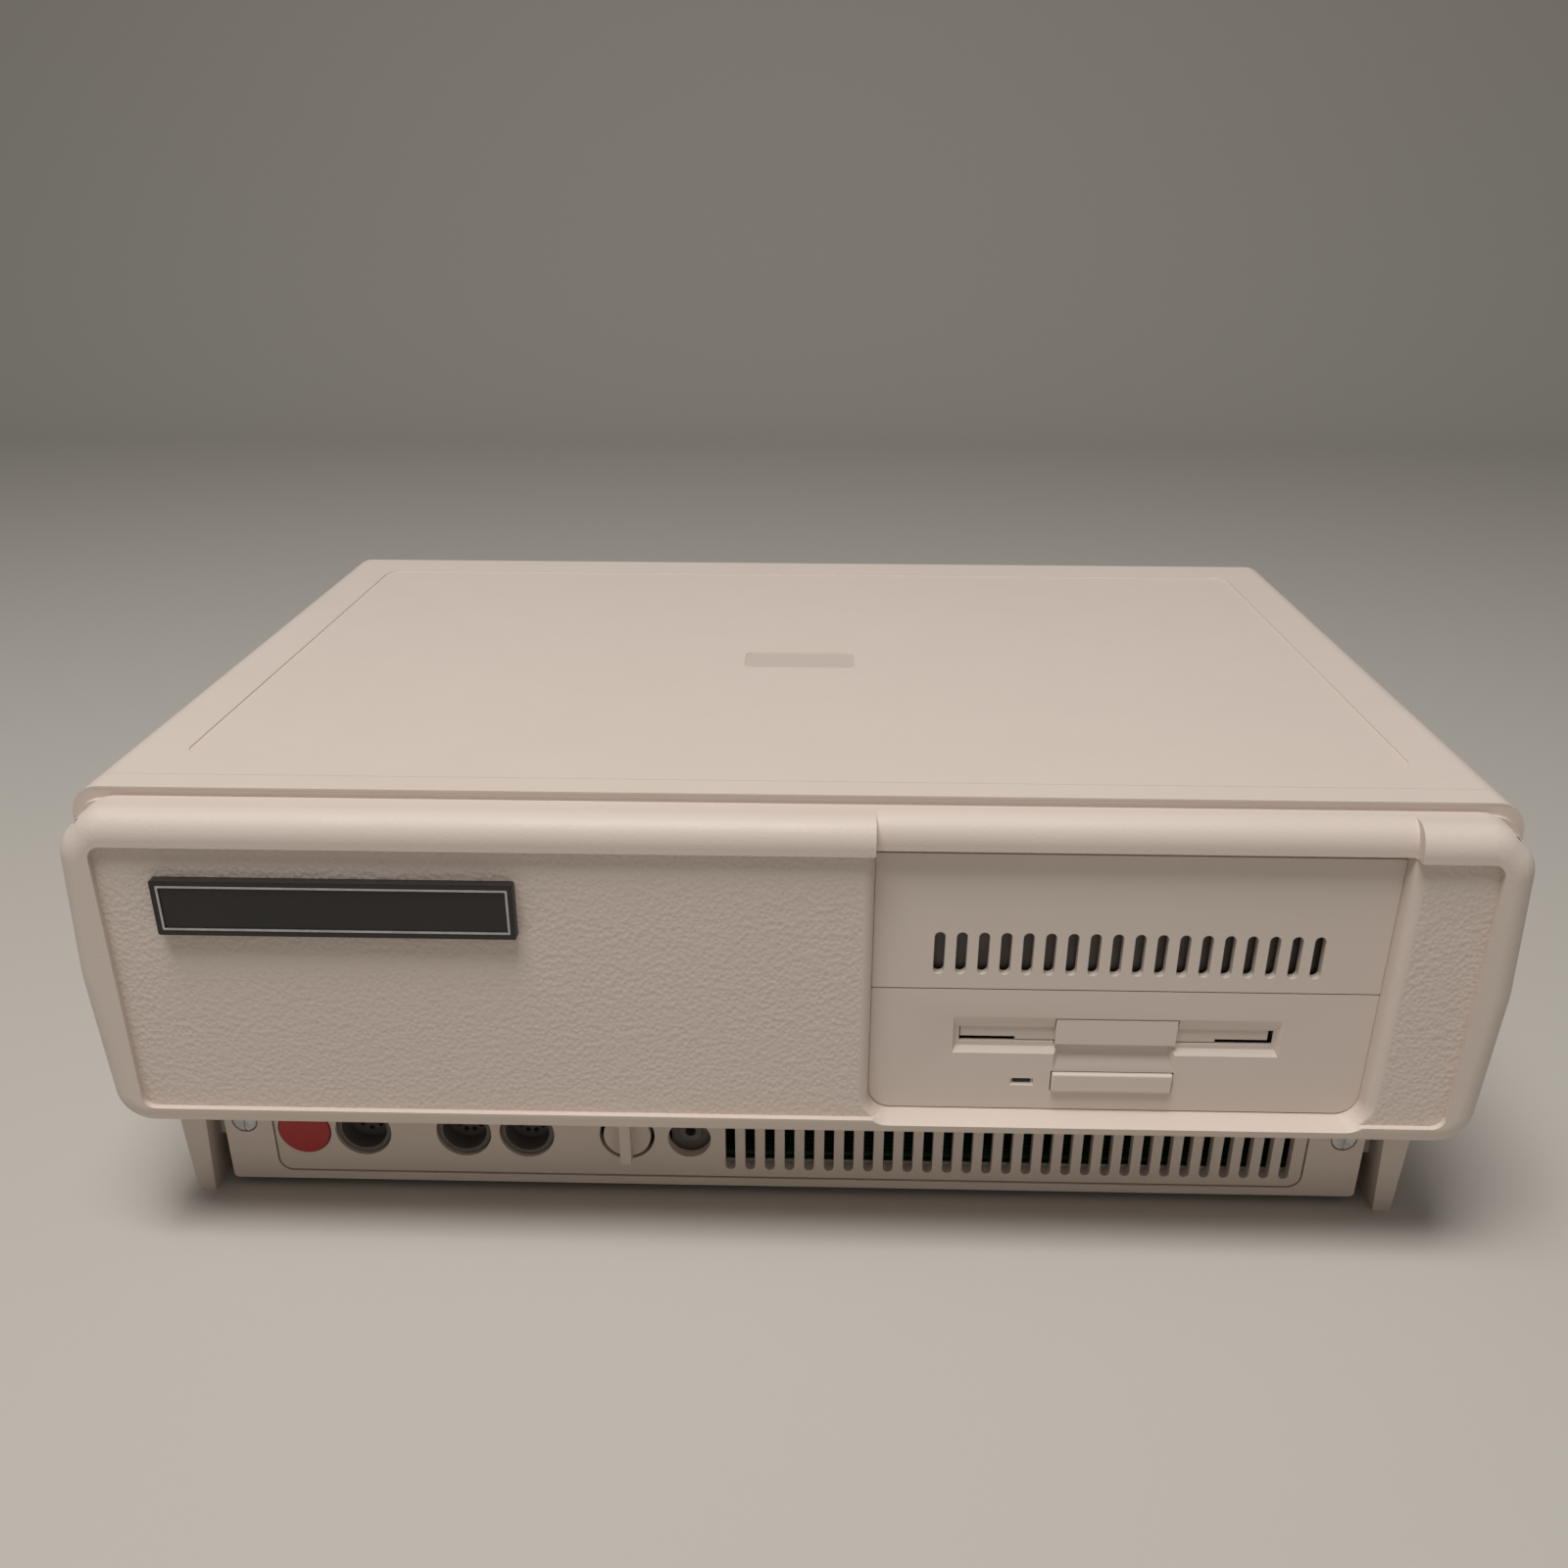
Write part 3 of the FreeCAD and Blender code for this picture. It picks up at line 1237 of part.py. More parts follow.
def spindle_motor():
    """Flat motor plate with the bush for the hub's shaft."""
    plate = rod_z(drive_x, spindle_d, 24.0, deck, deck + 3.0)
    bush = rod_z(drive_x, spindle_d, 5.0, deck + 2.5, deck + 7.0)
    bore = rod_z(drive_x, spindle_d, 2.0 + running_gap, deck + 1.0, deck + 8.0)
    return single(plate.fuse(bush).cut(bore))


def spindle_hub():
    """Turning hub that drives the disk, with its drive pin."""
    cup = rod_z(drive_x, spindle_d, 22.0, deck + 7.4, deck + 11.0)
    hub = rod_z(drive_x, spindle_d, 12.0, deck + 10.5, slot_floor - 1.0)
    pin = rod_z(drive_x + 8.0, spindle_d, 1.2, slot_floor - 1.5, slot_floor - 0.2)
    shaft = rod_z(drive_x, spindle_d, 2.0, deck + 1.3, deck + 8.0)
    return single(cup.fuse([hub, pin, shaft]))


def carriage_rods():
    """Two guide rods for the head carriage."""
    start = carriage_d - carriage_travel - 6.0
    end = carriage_d + 36.0
    return group([rod_y(drive_x + side * rod_offset, rod_z_place, 1.5, start, end) for side in (-1, 1)])


def head_carriage():
    """Carriage with the two heads, one under and one over the disk."""
    front = carriage_d
    back = carriage_d + 16.0
    base = block(drive_x - 23.0, drive_x + 23.0, front, back, rod_z_place - 4.0, rod_z_place + 4.0)
    follower = block(drive_x + 20.0, drive_x + screw_offset + 4.0, front + 5.0, front + 11.0,
                     rod_z_place - 4.0, rod_z_place + 4.0)
    lower = block(drive_x - 5.0, drive_x + 5.0, front - 10.0, front + 4.0, rod_z_place + 2.0, slot_floor - 2.0)
    pillar = block(drive_x - 6.0, drive_x + 6.0, back - 6.0, back, rod_z_place + 3.0, slot_top + 4.5)
    upper = block(drive_x - 5.0, drive_x + 5.0, front - 10.0, back - 5.0, slot_top + 2.5, slot_top + 4.5)
    heads = [rod_z(drive_x, front - 6.0, 2.5, slot_floor - 3.0, slot_floor - 0.4),
             rod_z(drive_x, front - 6.0, 2.5, slot_top + 0.6, slot_top + 3.0)]
    shape = base.fuse([follower, lower, pillar, upper] + heads)
    cuts = [rod_y(drive_x + side * rod_offset, rod_z_place, 1.5 + running_gap, front - 1.0, back + 1.0)
            for side in (-1, 1)]
    cuts.append(rod_y(drive_x + screw_offset, rod_z_place, 2.0 + free_gap, front, back))
    return single(shape.cut(cuts))


def lead_screw():
    """Screw that moves the head carriage."""
    front = carriage_d - carriage_travel - 6.0
    return single(rod_y(drive_x + screw_offset, rod_z_place, 2.0, front, carriage_d + 24.0))


def stepper_motor():
    """Small motor at the end of the lead screw."""
    x = drive_x + screw_offset
    front = carriage_d + 20.0
    can = rod_y(x, rod_z_place, rod_z_place - deck, front, front + 18.0)
    return single(can.cut(rod_y(x, rod_z_place, 2.0 + running_gap, front - 1.0, front + 6.0)))


def drive_board():
    """Drive electronics on top of the frame, with the plug for the flat cable."""
    back = frame_front + frame_length - 1.0
    board = block(drive_x - frame_half, drive_x + frame_half, back - 34.0, back, frame_top, frame_top + 1.6)
    plug = block(ribbon_left, ribbon_right, back - 6.0, back, frame_top + 1.6, frame_top + 9.0)
    chips = [block(drive_x + x - 6.0, drive_x + x + 6.0, back - 26.0, back - 12.0, frame_top + 1.6, frame_top + 4.0)
             for x in (-22.0, 0.0, 24.0)]
    return group([single(board), single(plug)] + chips)


ribbon_left = drive_x - frame_half + 3.0
ribbon_right = ribbon_left + 38.0
ribbon_thick = 1.0
ribbon_drop_d = shelf_back + 4.0


def ribbon_cable():
    """Flat cable from the drive board down to the main board, in one plane with a wide bend."""
    start = frame_front + frame_length - 1.0
    high = frame_top + 5.0
    bend = 12.0
    t = ribbon_thick
    low = board_top + 9.0
    corners = [(start, high, 0), (ribbon_drop_d, high, bend), (ribbon_drop_d, low, 0),
               (ribbon_drop_d - t, low, 0), (ribbon_drop_d - t, high - t, bend - t), (start, high - t, 0)]
    return single(prism_dz(corners, ribbon_left, ribbon_right))


def cable_header():
    """Plug block on the main board for the flat cable, and the one for the power leads."""
    middle = ribbon_drop_d - ribbon_thick / 2
    data = block(ribbon_left, ribbon_right, middle - 3.0, middle + 3.0, board_top, board_top + 9.0)
    power = block(lead_x - 4.0, lead_x + 4.0, lead_first - 2.5, lead_first + 5 * lead_pitch + 2.5,
                  board_top, board_top + 11.0)
    return group([data, power])


lead_x = board_right_back - 7.0
lead_first = supply_front + 24.0
lead_pitch = 2.6
lead_high = 60.0


def power_leads():
    """Six wires from the power supply's side down to the main board."""
    bend = 5.0
    leads = []
    for i in range(6):
        d = y(lead_first + lead_pitch * i)
        start = Vector(supply_left, d, lead_high)
        turn_a = Vector(lead_x + bend, d, lead_high)
        turn_b = Vector(lead_x, d, lead_high - bend)
        slant = bend * (1 - math.cos(math.radians(45)))
        middle = Vector(lead_x + slant, d, lead_high - slant)
        end = Vector(lead_x, d, board_top + 11.0)
        path = Part.Wire([Part.LineSegment(start, turn_a).toShape(), Part.Arc(turn_a, middle, turn_b).toShape(),
                          Part.LineSegment(turn_b, end).toShape()])
        ring = Part.Wire([Part.makeCircle(0.9, start, Vector(-1, 0, 0))])
        leads.append(single(path.makePipeShell([ring], True, False)))
    return group(leads)


def power_supply_case():
    """Steel case of the power supply, open where the fan, the inlet and the switch sit."""
    outer = block(supply_left, supply_right, supply_front, rear_inside, pan_floor, supply_top)
    w = supply_wall
    inner = block(supply_left + w, supply_right - w, supply_front + w, rear_inside - w, pan_floor + w,
                  supply_top - w)
    pillars = [rod_z(x, d, 2.5, pan_floor + 0.5, supply_board_z) for x in (supply_left + 8.0, supply_right - 8.0)
               for d in (supply_front + 12.0, supply_front + 88.0)]
    cuts = [rod_y(supply_x, fan_z, fan_bore, rear_inside - 3.0, rear_inside + 1.0)]
    cuts.append(block(inlet_x - 13.6, inlet_x + 13.6, rear_inside - 3.0, rear_inside + 1.0, inlet_z - 9.9,
                      inlet_z + 9.9))
    cuts.append(block(rocker_x - 10.6, rocker_x + 10.6, rear_inside - 3.0, rear_inside + 1.0, inlet_z - 9.6,
                      inlet_z + 9.6))
    for x in row(supply_left + 14.0, supply_right - 14.0, 9):
        cuts.append(upright_slot(x, 40.0, 100.0, 4.0, supply_front - 1.0, supply_front + w + 1.0))
    return single(outer.cut(inner).fuse(pillars).cut(cuts))


inlet_x = supply_x - 21.0
rocker_x = supply_x + 23.0
inlet_z = fan_z - fan_size / 2 - 16.0
supply_board_z = pan_floor + supply_wall + 3.2


def mains_inlet():
    """Three-pin mains inlet: flange, sunk cavity and blades."""
    flange = prism_xz(frame_corners(inlet_x - 15.5, inlet_x + 15.5, inlet_z - 11.8, inlet_z + 11.8, 2.0),
                      rear_inside, rear_inside + 2.4)
    body = block(inlet_x - 13.3, inlet_x + 13.3, rear_inside - 20.0, rear_inside + 1.0, inlet_z - 9.6,
                 inlet_z + 9.6)
    cavity = prism_xz([(inlet_x - 12.0, inlet_z - 8.2, 1.5), (inlet_x + 12.0, inlet_z - 8.2, 1.5),
                       (inlet_x + 12.0, inlet_z + 3.0, 1.0), (inlet_x + 7.0, inlet_z + 8.2, 1.0),
                       (inlet_x - 7.0, inlet_z + 8.2, 1.0), (inlet_x - 12.0, inlet_z + 3.0, 1.0)],
                      rear_inside - 16.0, rear_inside + 4.0)
    shape = flange.fuse(body).cut(cavity)
    blades = [block(inlet_x + x - 1.0, inlet_x + x + 1.0, rear_inside - 17.0, rear_inside - 3.5,
                    inlet_z + z - 2.0, inlet_z + z + 2.0) for x, z in ((-7.0, -3.0), (7.0, -3.0), (0.0, 2.5))]
    return single(shape.fuse(blades))


rocker_radius = 11.0
rocker_tilt = 7.0
rocker_d = rear_inside - 5.0


def switch_housing():
    """Frame of the rocker switch in the power supply's rear wall."""
    flange = prism_xz(frame_corners(rocker_x - 12.5, rocker_x + 12.5, inlet_z - 11.8, inlet_z + 11.8, 1.5),
                      rear_inside, rear_inside + 1.6)
    body = block(rocker_x - 10.3, rocker_x + 10.3, rear_inside - 18.0, rear_inside + 0.5, inlet_z - 9.3,
                 inlet_z + 9.3)
    well = block(rocker_x - 8.6, rocker_x + 8.6, rear_inside - 15.0, rear_inside + 3.0, inlet_z - 8.2,
                 inlet_z + 8.2)
    pin = rod_x(rocker_d, inlet_z, 1.5, rocker_x - 9.5, rocker_x + 9.5)
    return single(flange.fuse(body).cut(well).fuse(pin))


def power_rocker():
    """Rocker of the mains switch, shown in its off place, bored for the pin it turns on."""
    corners = [(rocker_d - 5.0, inlet_z - 3.5, 1.0), (rocker_d + 7.4, inlet_z - 7.2, 0.8),
               (rocker_d + 6.4, inlet_z, 0), (rocker_d + 7.4, inlet_z + 7.2, 0.8),
               (rocker_d - 5.0, inlet_z + 3.5, 1.0)]
    body = prism_dz(corners, rocker_x - 8.2, rocker_x + 8.2)
    body = body.cut(rod_x(rocker_d, inlet_z, 1.5 + running_gap, rocker_x - 10.0, rocker_x + 10.0))
    body.rotate(Vector(rocker_x, y(rocker_d), inlet_z), Vector(1, 0, 0), rocker_tilt)
    return single(body)


def fan_frame():
    """Square fan frame with a round duct, three struts and the bearing."""
    half = fan_size / 2
    frame = prism_xz(frame_corners(supply_x - half, supply_x + half, fan_z - half, fan_z + half, 4.0),
                     fan_front, fan_back)
    frame = frame.cut(rod_y(supply_x, fan_z, fan_bore, fan_front - 1.0, fan_back + 1.0))
    hub = rod_y(supply_x, fan_z, 14.0, fan_front, fan_front + 3.0)
    bearing = rod_y(supply_x, fan_z, 4.0, fan_front + 2.0, fan_front + 10.0)
    struts = []
    for i in range(3):
        strut = block(supply_x + 12.0, supply_x + fan_bore + 0.5, fan_front, fan_front + 3.0, fan_z - 2.0,
                      fan_z + 2.0)
        strut.rotate(Vector(supply_x, 0, fan_z), Vector(0, 1, 0), 120.0 * i + 30.0)
        struts.append(strut)
    shape = frame.fuse([hub, bearing] + struts)
    bore = rod_y(supply_x, fan_z, 1.5 + running_gap, fan_front + 1.0, fan_front + 12.0)
    return single(shape.cut(bore))


def fan_rotor():
    """Fan rotor: hub, shaft and slanted blades."""
    start = fan_front + 11.0
    end = fan_back - 2.0
    hub = rod_y(supply_x, fan_z, fan_hub, start, end)
    shaft = rod_y(supply_x, fan_z, 1.5, fan_front + 1.5, start + 1.0)
    tip = rod_y(supply_x, fan_z, fan_tip, start, end)
    parts = [shaft]
    middle = (start + end) / 2
    for i in range(blade_count):
        blade = block(supply_x + fan_hub - 1.5, supply_x + fan_tip + 2.0, middle - 0.8, middle + 0.8,
                      fan_z - 12.0, fan_z + 12.0)
        blade.rotate(Vector(supply_x, y(middle), fan_z), Vector(1, 0, 0), 52.0)
        blade.rotate(Vector(supply_x, y(middle), fan_z), Vector(0, 1, 0), 360.0 * i / blade_count)
        parts.append(blade.common(tip))
    return single(hub.fuse(parts))


def fan_guard():
    """Wire guard over the fan, on the power supply's rear wall."""
    wire = 0.9
    plane = rear_inside + wire
    rings = []
    for radius in (9.0, 17.0, 25.0, 33.0):
        disc = rod_y(supply_x, fan_z, radius + wire, plane - 0.6, plane + 0.6)
        rings.append(disc.cut(rod_y(supply_x, fan_z, radius - wire, plane - 2.0, plane + 2.0)))
    spokes = []
    for i in range(4):
        spoke = rod_x(plane, fan_z, wire, supply_x, supply_x + fan_bore + 2.0)
        spoke.rotate(Vector(supply_x, y(plane), fan_z), Vector(0, 1, 0), 45.0 + 90.0 * i)
        spokes.append(spoke)
    return single(rings[0].fuse(rings[1:] + spokes))


def supply_board():
    """Circuit board inside the power supply."""
    return single(block(supply_left + 4.0, supply_right - 4.0, supply_front + 6.0, supply_front + 94.0,
                        supply_board_z, supply_board_z + 1.6))


def supply_parts():
    """Transformer, capacitors and heat sinks on the power supply's board."""
    top = supply_board_z + 1.6
    x = supply_x
    d = supply_front
    parts = [block(x - 17.0, x + 17.0, d + 40.0, d + 68.0, top, top + 28.0),
             rod_z(x - 24.0, d + 22.0, 10.0, top, top + 32.0), rod_z(x + 2.0, d + 22.0, 10.0, top, top + 32.0),
             block(x + 20.0, x + 23.0, d + 14.0, d + 44.0, top, top + 40.0),
             block(x - 36.0, x - 33.0, d + 38.0, d + 66.0, top, top + 40.0)]
    return group(parts)


def speaker():
    """Small round loudspeaker on the side of the drive cage."""
    d = cage_front + 75.0
    z = shelf_top + 45.0
    basket = Part.makeCone(15.0, 27.0, 10.0, Vector(cage_left - 12.0, y(d), z), Vector(1, 0, 0))
    rim = rod_x(d, z, 28.5, cage_left - 2.0, cage_left)
    magnet = rod_x(d, z, 14.0, cage_left - 20.0, cage_left - 12.0)
    return single(basket.fuse([rim, magnet]))


NODES = {
    "top_cover": top_cover, "front_bezel": front_bezel, "bezel_screws": bezel_screws,
    "cover_screws": cover_screws, "badge_plate": badge_plate, "badge_trim": badge_trim,
    "base_pan": base_pan, "cover_nuts": cover_nuts,
    "left_foot_rail": lambda: foot_rail(-1), "right_foot_rail": lambda: foot_rail(1),
    "chassis_screws": chassis_screws, "port_panel": port_panel,
    "keyboard_socket": keyboard_socket, "joystick_sockets": joystick_sockets,
    "earphone_socket": earphone_socket, "volume_control": volume_control, "volume_knob": volume_knob,
    "reset_switch": reset_switch, "reset_button": reset_button, "main_board": main_board,
    "board_standoffs": board_standoffs,
    "processor_chips": processor_chips, "memory_chips": memory_chips,
    "expansion_connectors": expansion_connectors, "rear_panel": rear_panel,
    "bracket_rail": bracket_rail, "slot_brackets": slot_brackets, "speaker": speaker,
    "monitor_socket": monitor_socket, "printer_socket": printer_socket, "phono_sockets": phono_sockets,
    "drive_shelf": drive_shelf, "drive_cage": drive_cage, "drive_tray": drive_tray,
    "drive_screws": drive_screws, "bay_blank_panel": bay_blank_panel,
    "drive_front_panel": drive_front_panel, "indicator_lens": indicator_lens, "drive_door": drive_door,
    "eject_button": eject_button, "drive_frame": drive_frame, "spindle_motor": spindle_motor,
    "spindle_hub": spindle_hub, "carriage_rods": carriage_rods, "head_carriage": head_carriage,
    "lead_screw": lead_screw, "stepper_motor": stepper_motor, "drive_board": drive_board,
    "ribbon_cable": ribbon_cable, "cable_headers": cable_header, "power_leads": power_leads,
    "power_supply_case": power_supply_case, "mains_inlet": mains_inlet,
    "switch_housing": switch_housing, "power_rocker": power_rocker, "fan_frame": fan_frame,
    "fan_rotor": fan_rotor, "fan_guard": fan_guard, "supply_board": supply_board,
    "supply_parts": supply_parts,
}

os.makedirs("parts", exist_ok=True)
for name, build in NODES.items():
    build().exportStep("parts/" + name + ".step")
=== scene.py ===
"""Looks of a desktop home computer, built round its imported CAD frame.

The CAD nodes keep their shapes. Here their edges are softened, every surface gets the
finish of the real material, and small pieces that only the eye needs are added.
"""

from __future__ import annotations

import json
import logging
import math
from dataclasses import dataclass, field
from enum import Enum

import bmesh
import bpy
from mathutils import Matrix, Vector


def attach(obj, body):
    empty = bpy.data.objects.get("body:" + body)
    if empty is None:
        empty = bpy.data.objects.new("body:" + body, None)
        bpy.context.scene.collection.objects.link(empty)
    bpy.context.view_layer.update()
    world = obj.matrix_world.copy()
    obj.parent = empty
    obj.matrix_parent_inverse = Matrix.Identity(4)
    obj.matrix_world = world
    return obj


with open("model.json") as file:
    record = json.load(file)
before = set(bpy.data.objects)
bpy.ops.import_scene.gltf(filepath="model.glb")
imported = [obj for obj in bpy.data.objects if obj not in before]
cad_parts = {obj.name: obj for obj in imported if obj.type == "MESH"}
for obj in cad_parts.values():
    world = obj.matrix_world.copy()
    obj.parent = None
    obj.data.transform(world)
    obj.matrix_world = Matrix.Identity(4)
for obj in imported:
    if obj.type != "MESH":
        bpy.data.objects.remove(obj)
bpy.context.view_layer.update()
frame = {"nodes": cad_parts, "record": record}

MM = 0.001
# Edges bent by more than this stay sharp in the shading and get the small rounding.
SHARP_ANGLE = 32.0
# Y of the bezel's front face, from which depths into the machine are counted.
FRONT_Y = -164.5
LOG = logging.getLogger("home_computer")


class Body(Enum):
    """Bodies of the frame that pieces ride on."""

    CHASSIS = "chassis"
    COVER = "cover"


class Grain(Enum):
    """How a mould or a mill left a surface, as grain size and height in millimetres."""

    POLISHED = (0.0, 0.0)
    # A real fine grain is about 0.2 mm; it is drawn coarser so that it shows at all.
    FINE = (1.0, 0.055)
    SATIN = (0.8, 0.012)
    # The coarse grain of the sunk panel, as wide as the photograph shows it.
    PEBBLED = (1.5, 0.210)


def linear(code: str) -> tuple[float, float, float, float]:
    """Turns an sRGB hex colour into linear values.

    Args:
        code: Colour such as "#D9D2C0".

    Returns:
        Linear red, green and blue with an alpha of 1.
    """
    parts = [int(code[i : i + 2], 16) / 255 for i in (1, 3, 5)]
    red, green, blue = [
        p / 12.92 if p <= 0.04045 else ((p + 0.055) / 1.055) ** 2.4 for p in parts
    ]
    return red, green, blue, 1.0


def add_node(
    tree: bpy.types.NodeTree,
    kind: str,
    settings: dict | None = None,
    links: dict | None = None,
) -> bpy.types.Node:
    """Adds a node, sets its sockets and properties, and links its inputs.

    Args:
        tree: Node tree that gets the node.
        kind: Blender's name of the node type.
        settings: Values by socket name, socket number or property name.
        links: Output sockets by the name or number of the input that they feed.

    Returns:
        The new node.
    """
    node = tree.nodes.new(kind)
    for key, value in (settings or {}).items():
        if isinstance(key, int) or key in node.inputs:
            node.inputs[key].default_value = value
        else:
            setattr(node, key, value)
    for key, source in (links or {}).items():
        tree.links.new(source, node.inputs[key])
    return node


def new_material(name: str) -> tuple[bpy.types.Material, bpy.types.NodeTree]:
    """Makes an empty node material.

    Args:
        name: Name of the material.

    Returns:
        The material and its node tree.
    """
    material = bpy.data.materials.new(name)
    material.use_nodes = True
    material.node_tree.nodes.clear()
    return material, material.node_tree


def add_surface(tree: bpy.types.NodeTree, settings: dict, links: dict) -> None:
    """Adds the surface shader and leads it to the output of the material.

    Args:
        tree: Node tree of the material.
        settings: Values by socket name.
        links: Output sockets by the name of the input that they feed.
    """
    shader = add_node(tree, "ShaderNodeBsdfPrincipled", settings, links)
    add_node(
        tree, "ShaderNodeOutputMaterial", links={"Surface": shader.outputs["BSDF"]}
    )


def in_plane(
    tree: bpy.types.NodeTree,
    place: bpy.types.NodeSocket,
    axis: str,
    level: float,
    reach: float,
) -> bpy.types.NodeSocket:
    """Picks out the part of a surface that lies in one plane.

    Args:
        tree: Node tree of the material.
        place: Object coordinates.
        axis: Axis across the plane.
        level: Where the plane cuts that axis, in metres.
        reach: How far from the plane still counts, in metres.

    Returns:
        A socket that is 1 in the plane and 0 elsewhere.
    """
    split = add_node(tree, "ShaderNodeSeparateXYZ", links={"Vector": place})
    away = add_node(
        tree,
        "ShaderNodeMath",
        {"operation": "SUBTRACT", 1: level},
        {0: split.outputs[axis]},
    )
    far = add_node(
        tree, "ShaderNodeMath", {"operation": "ABSOLUTE"}, {0: away.outputs[0]}
    )
    inside = add_node(
        tree,
        "ShaderNodeMath",
        {"operation": "LESS_THAN", 1: reach},
        {0: far.outputs[0]},
    )
    return inside.outputs[0]


@dataclass(frozen=True)
class MouldedPlastic:
    """Injection-moulded ABS or similar: soft sheen, mould grain, slight yellowing.

    The eye sees a matt skin with small highlights on each grain, and a tone that drifts
    a little over a hand's width.
    """

    name: str
    colour: str
    aged: str
    roughness: float = 0.5
    grain: Grain = Grain.FINE
    ior: float = 1.50
    # Width of the drift between the two colours, and of the places that hands rubbed.
    drift_mm: float = 90.0
    handled_mm: float = 22.0
    # How much smoother and rougher than the rest those places are.
    smoother: float = 0.04
    rougher: float = 0.05
    # Y of the plane with the coarse grain, and how far from it the grain reaches.
    panel_y: float | None = None
    panel_reach_mm: float = 0.06
    # Z of a plane with painted shade, how far from it that shade reaches, and its
    # colour.
    shade_plane_z: float | None = None
    shade_plane_reach_mm: float = 0.12
    shade_plane_colour: str = "#CABDB2"

    def build(self) -> bpy.types.Material:
        """Builds the node material.

        Returns:
            The finished material.
        """
        material, tree = new_material(self.name)
        place = add_node(tree, "ShaderNodeTexCoord").outputs["Object"]
        drift = add_node(
            tree,
            "ShaderNodeTexNoise",
            {"Scale": 1 / (self.drift_mm * MM), "Detail": 3.0, "Roughness": 0.55},
            {"Vector": place},
        )
        tone = add_node(
            tree,
            "ShaderNodeMix",
            {"data_type": "RGBA", 6: linear(self.colour), 7: linear(self.aged)},
            {0: drift.outputs["Fac"]},
        )
        colour = tone.outputs[2]
        # Painted shade: one flat plane is mixed to a darker tone.
        if self.shade_plane_z is not None:
            near = in_plane(tree, place, "Z", self.shade_plane_z, self.shade_plane_reach_mm * MM)
            shade_plane_mix = add_node(
                tree,
                "ShaderNodeMix",
                {"data_type": "RGBA", 7: linear(self.shade_plane_colour)},
                {0: near, 6: colour},
            )
            colour = shade_plane_mix.outputs[2]
        handling = add_node(
            tree,
            "ShaderNodeTexNoise",
            {"Scale": 1 / (self.handled_mm * MM), "Detail": 5.0, "Roughness": 0.6},
            {"Vector": place},
        )
        sheen = add_node(
            tree,
            "ShaderNodeMapRange",
            {
                "From Min": 0.3,
                "From Max": 0.7,
                "To Min": self.roughness - self.smoother,
                "To Max": self.roughness + self.rougher,
            },
            {"Value": handling.outputs["Fac"]},
        )
        links = {"Base Color": colour, "Roughness": sheen.outputs["Result"]}
        normal = self._grain_normal(tree, place)
        if normal is not None:
            links["Normal"] = normal
        add_surface(tree, {"IOR": self.ior}, links)
        return material

    def _grain_normal(
        self, tree: bpy.types.NodeTree, place: bpy.types.NodeSocket
    ) -> bpy.types.NodeSocket | None:
        """Adds the mould's grain as bump.

        Args:
            tree: Node tree of the material.
            place: Object coordinates.

        Returns:
            The bent normal, or None for a polished mould.
        """
        size, height = self.grain.value
        if size <= 0:
            return None
        fine = add_node(
            tree,
            "ShaderNodeTexNoise",
            {"Scale": 1 / (size * MM), "Detail": 1.0, "Roughness": 0.5},
            {"Vector": place},
        )
        bump = add_node(
            tree,
            "ShaderNodeBump",
            {"Strength": 1.0, "Distance": height * MM},
            {"Height": fine.outputs["Fac"]},
        )
        if self.panel_y is None:
            return bump.outputs["Normal"]
        coarse_size, coarse_height = Grain.PEBBLED.value
        coarse = add_node(
            tree,
            "ShaderNodeTexVoronoi",
            {"feature": "F1", "Scale": 1 / (coarse_size * MM), "Randomness": 1.0},
            {"Vector": place},
        )
        inside = in_plane(tree, place, "Y", self.panel_y, self.panel_reach_mm * MM)
        pebbles = add_node(
            tree,
            "ShaderNodeBump",
            {"Distance": coarse_height * MM},
            {
                "Strength": inside,
                "Height": coarse.outputs["Distance"],
                "Normal": bump.outputs["Normal"],
            },
        )
        return pebbles.outputs["Normal"]


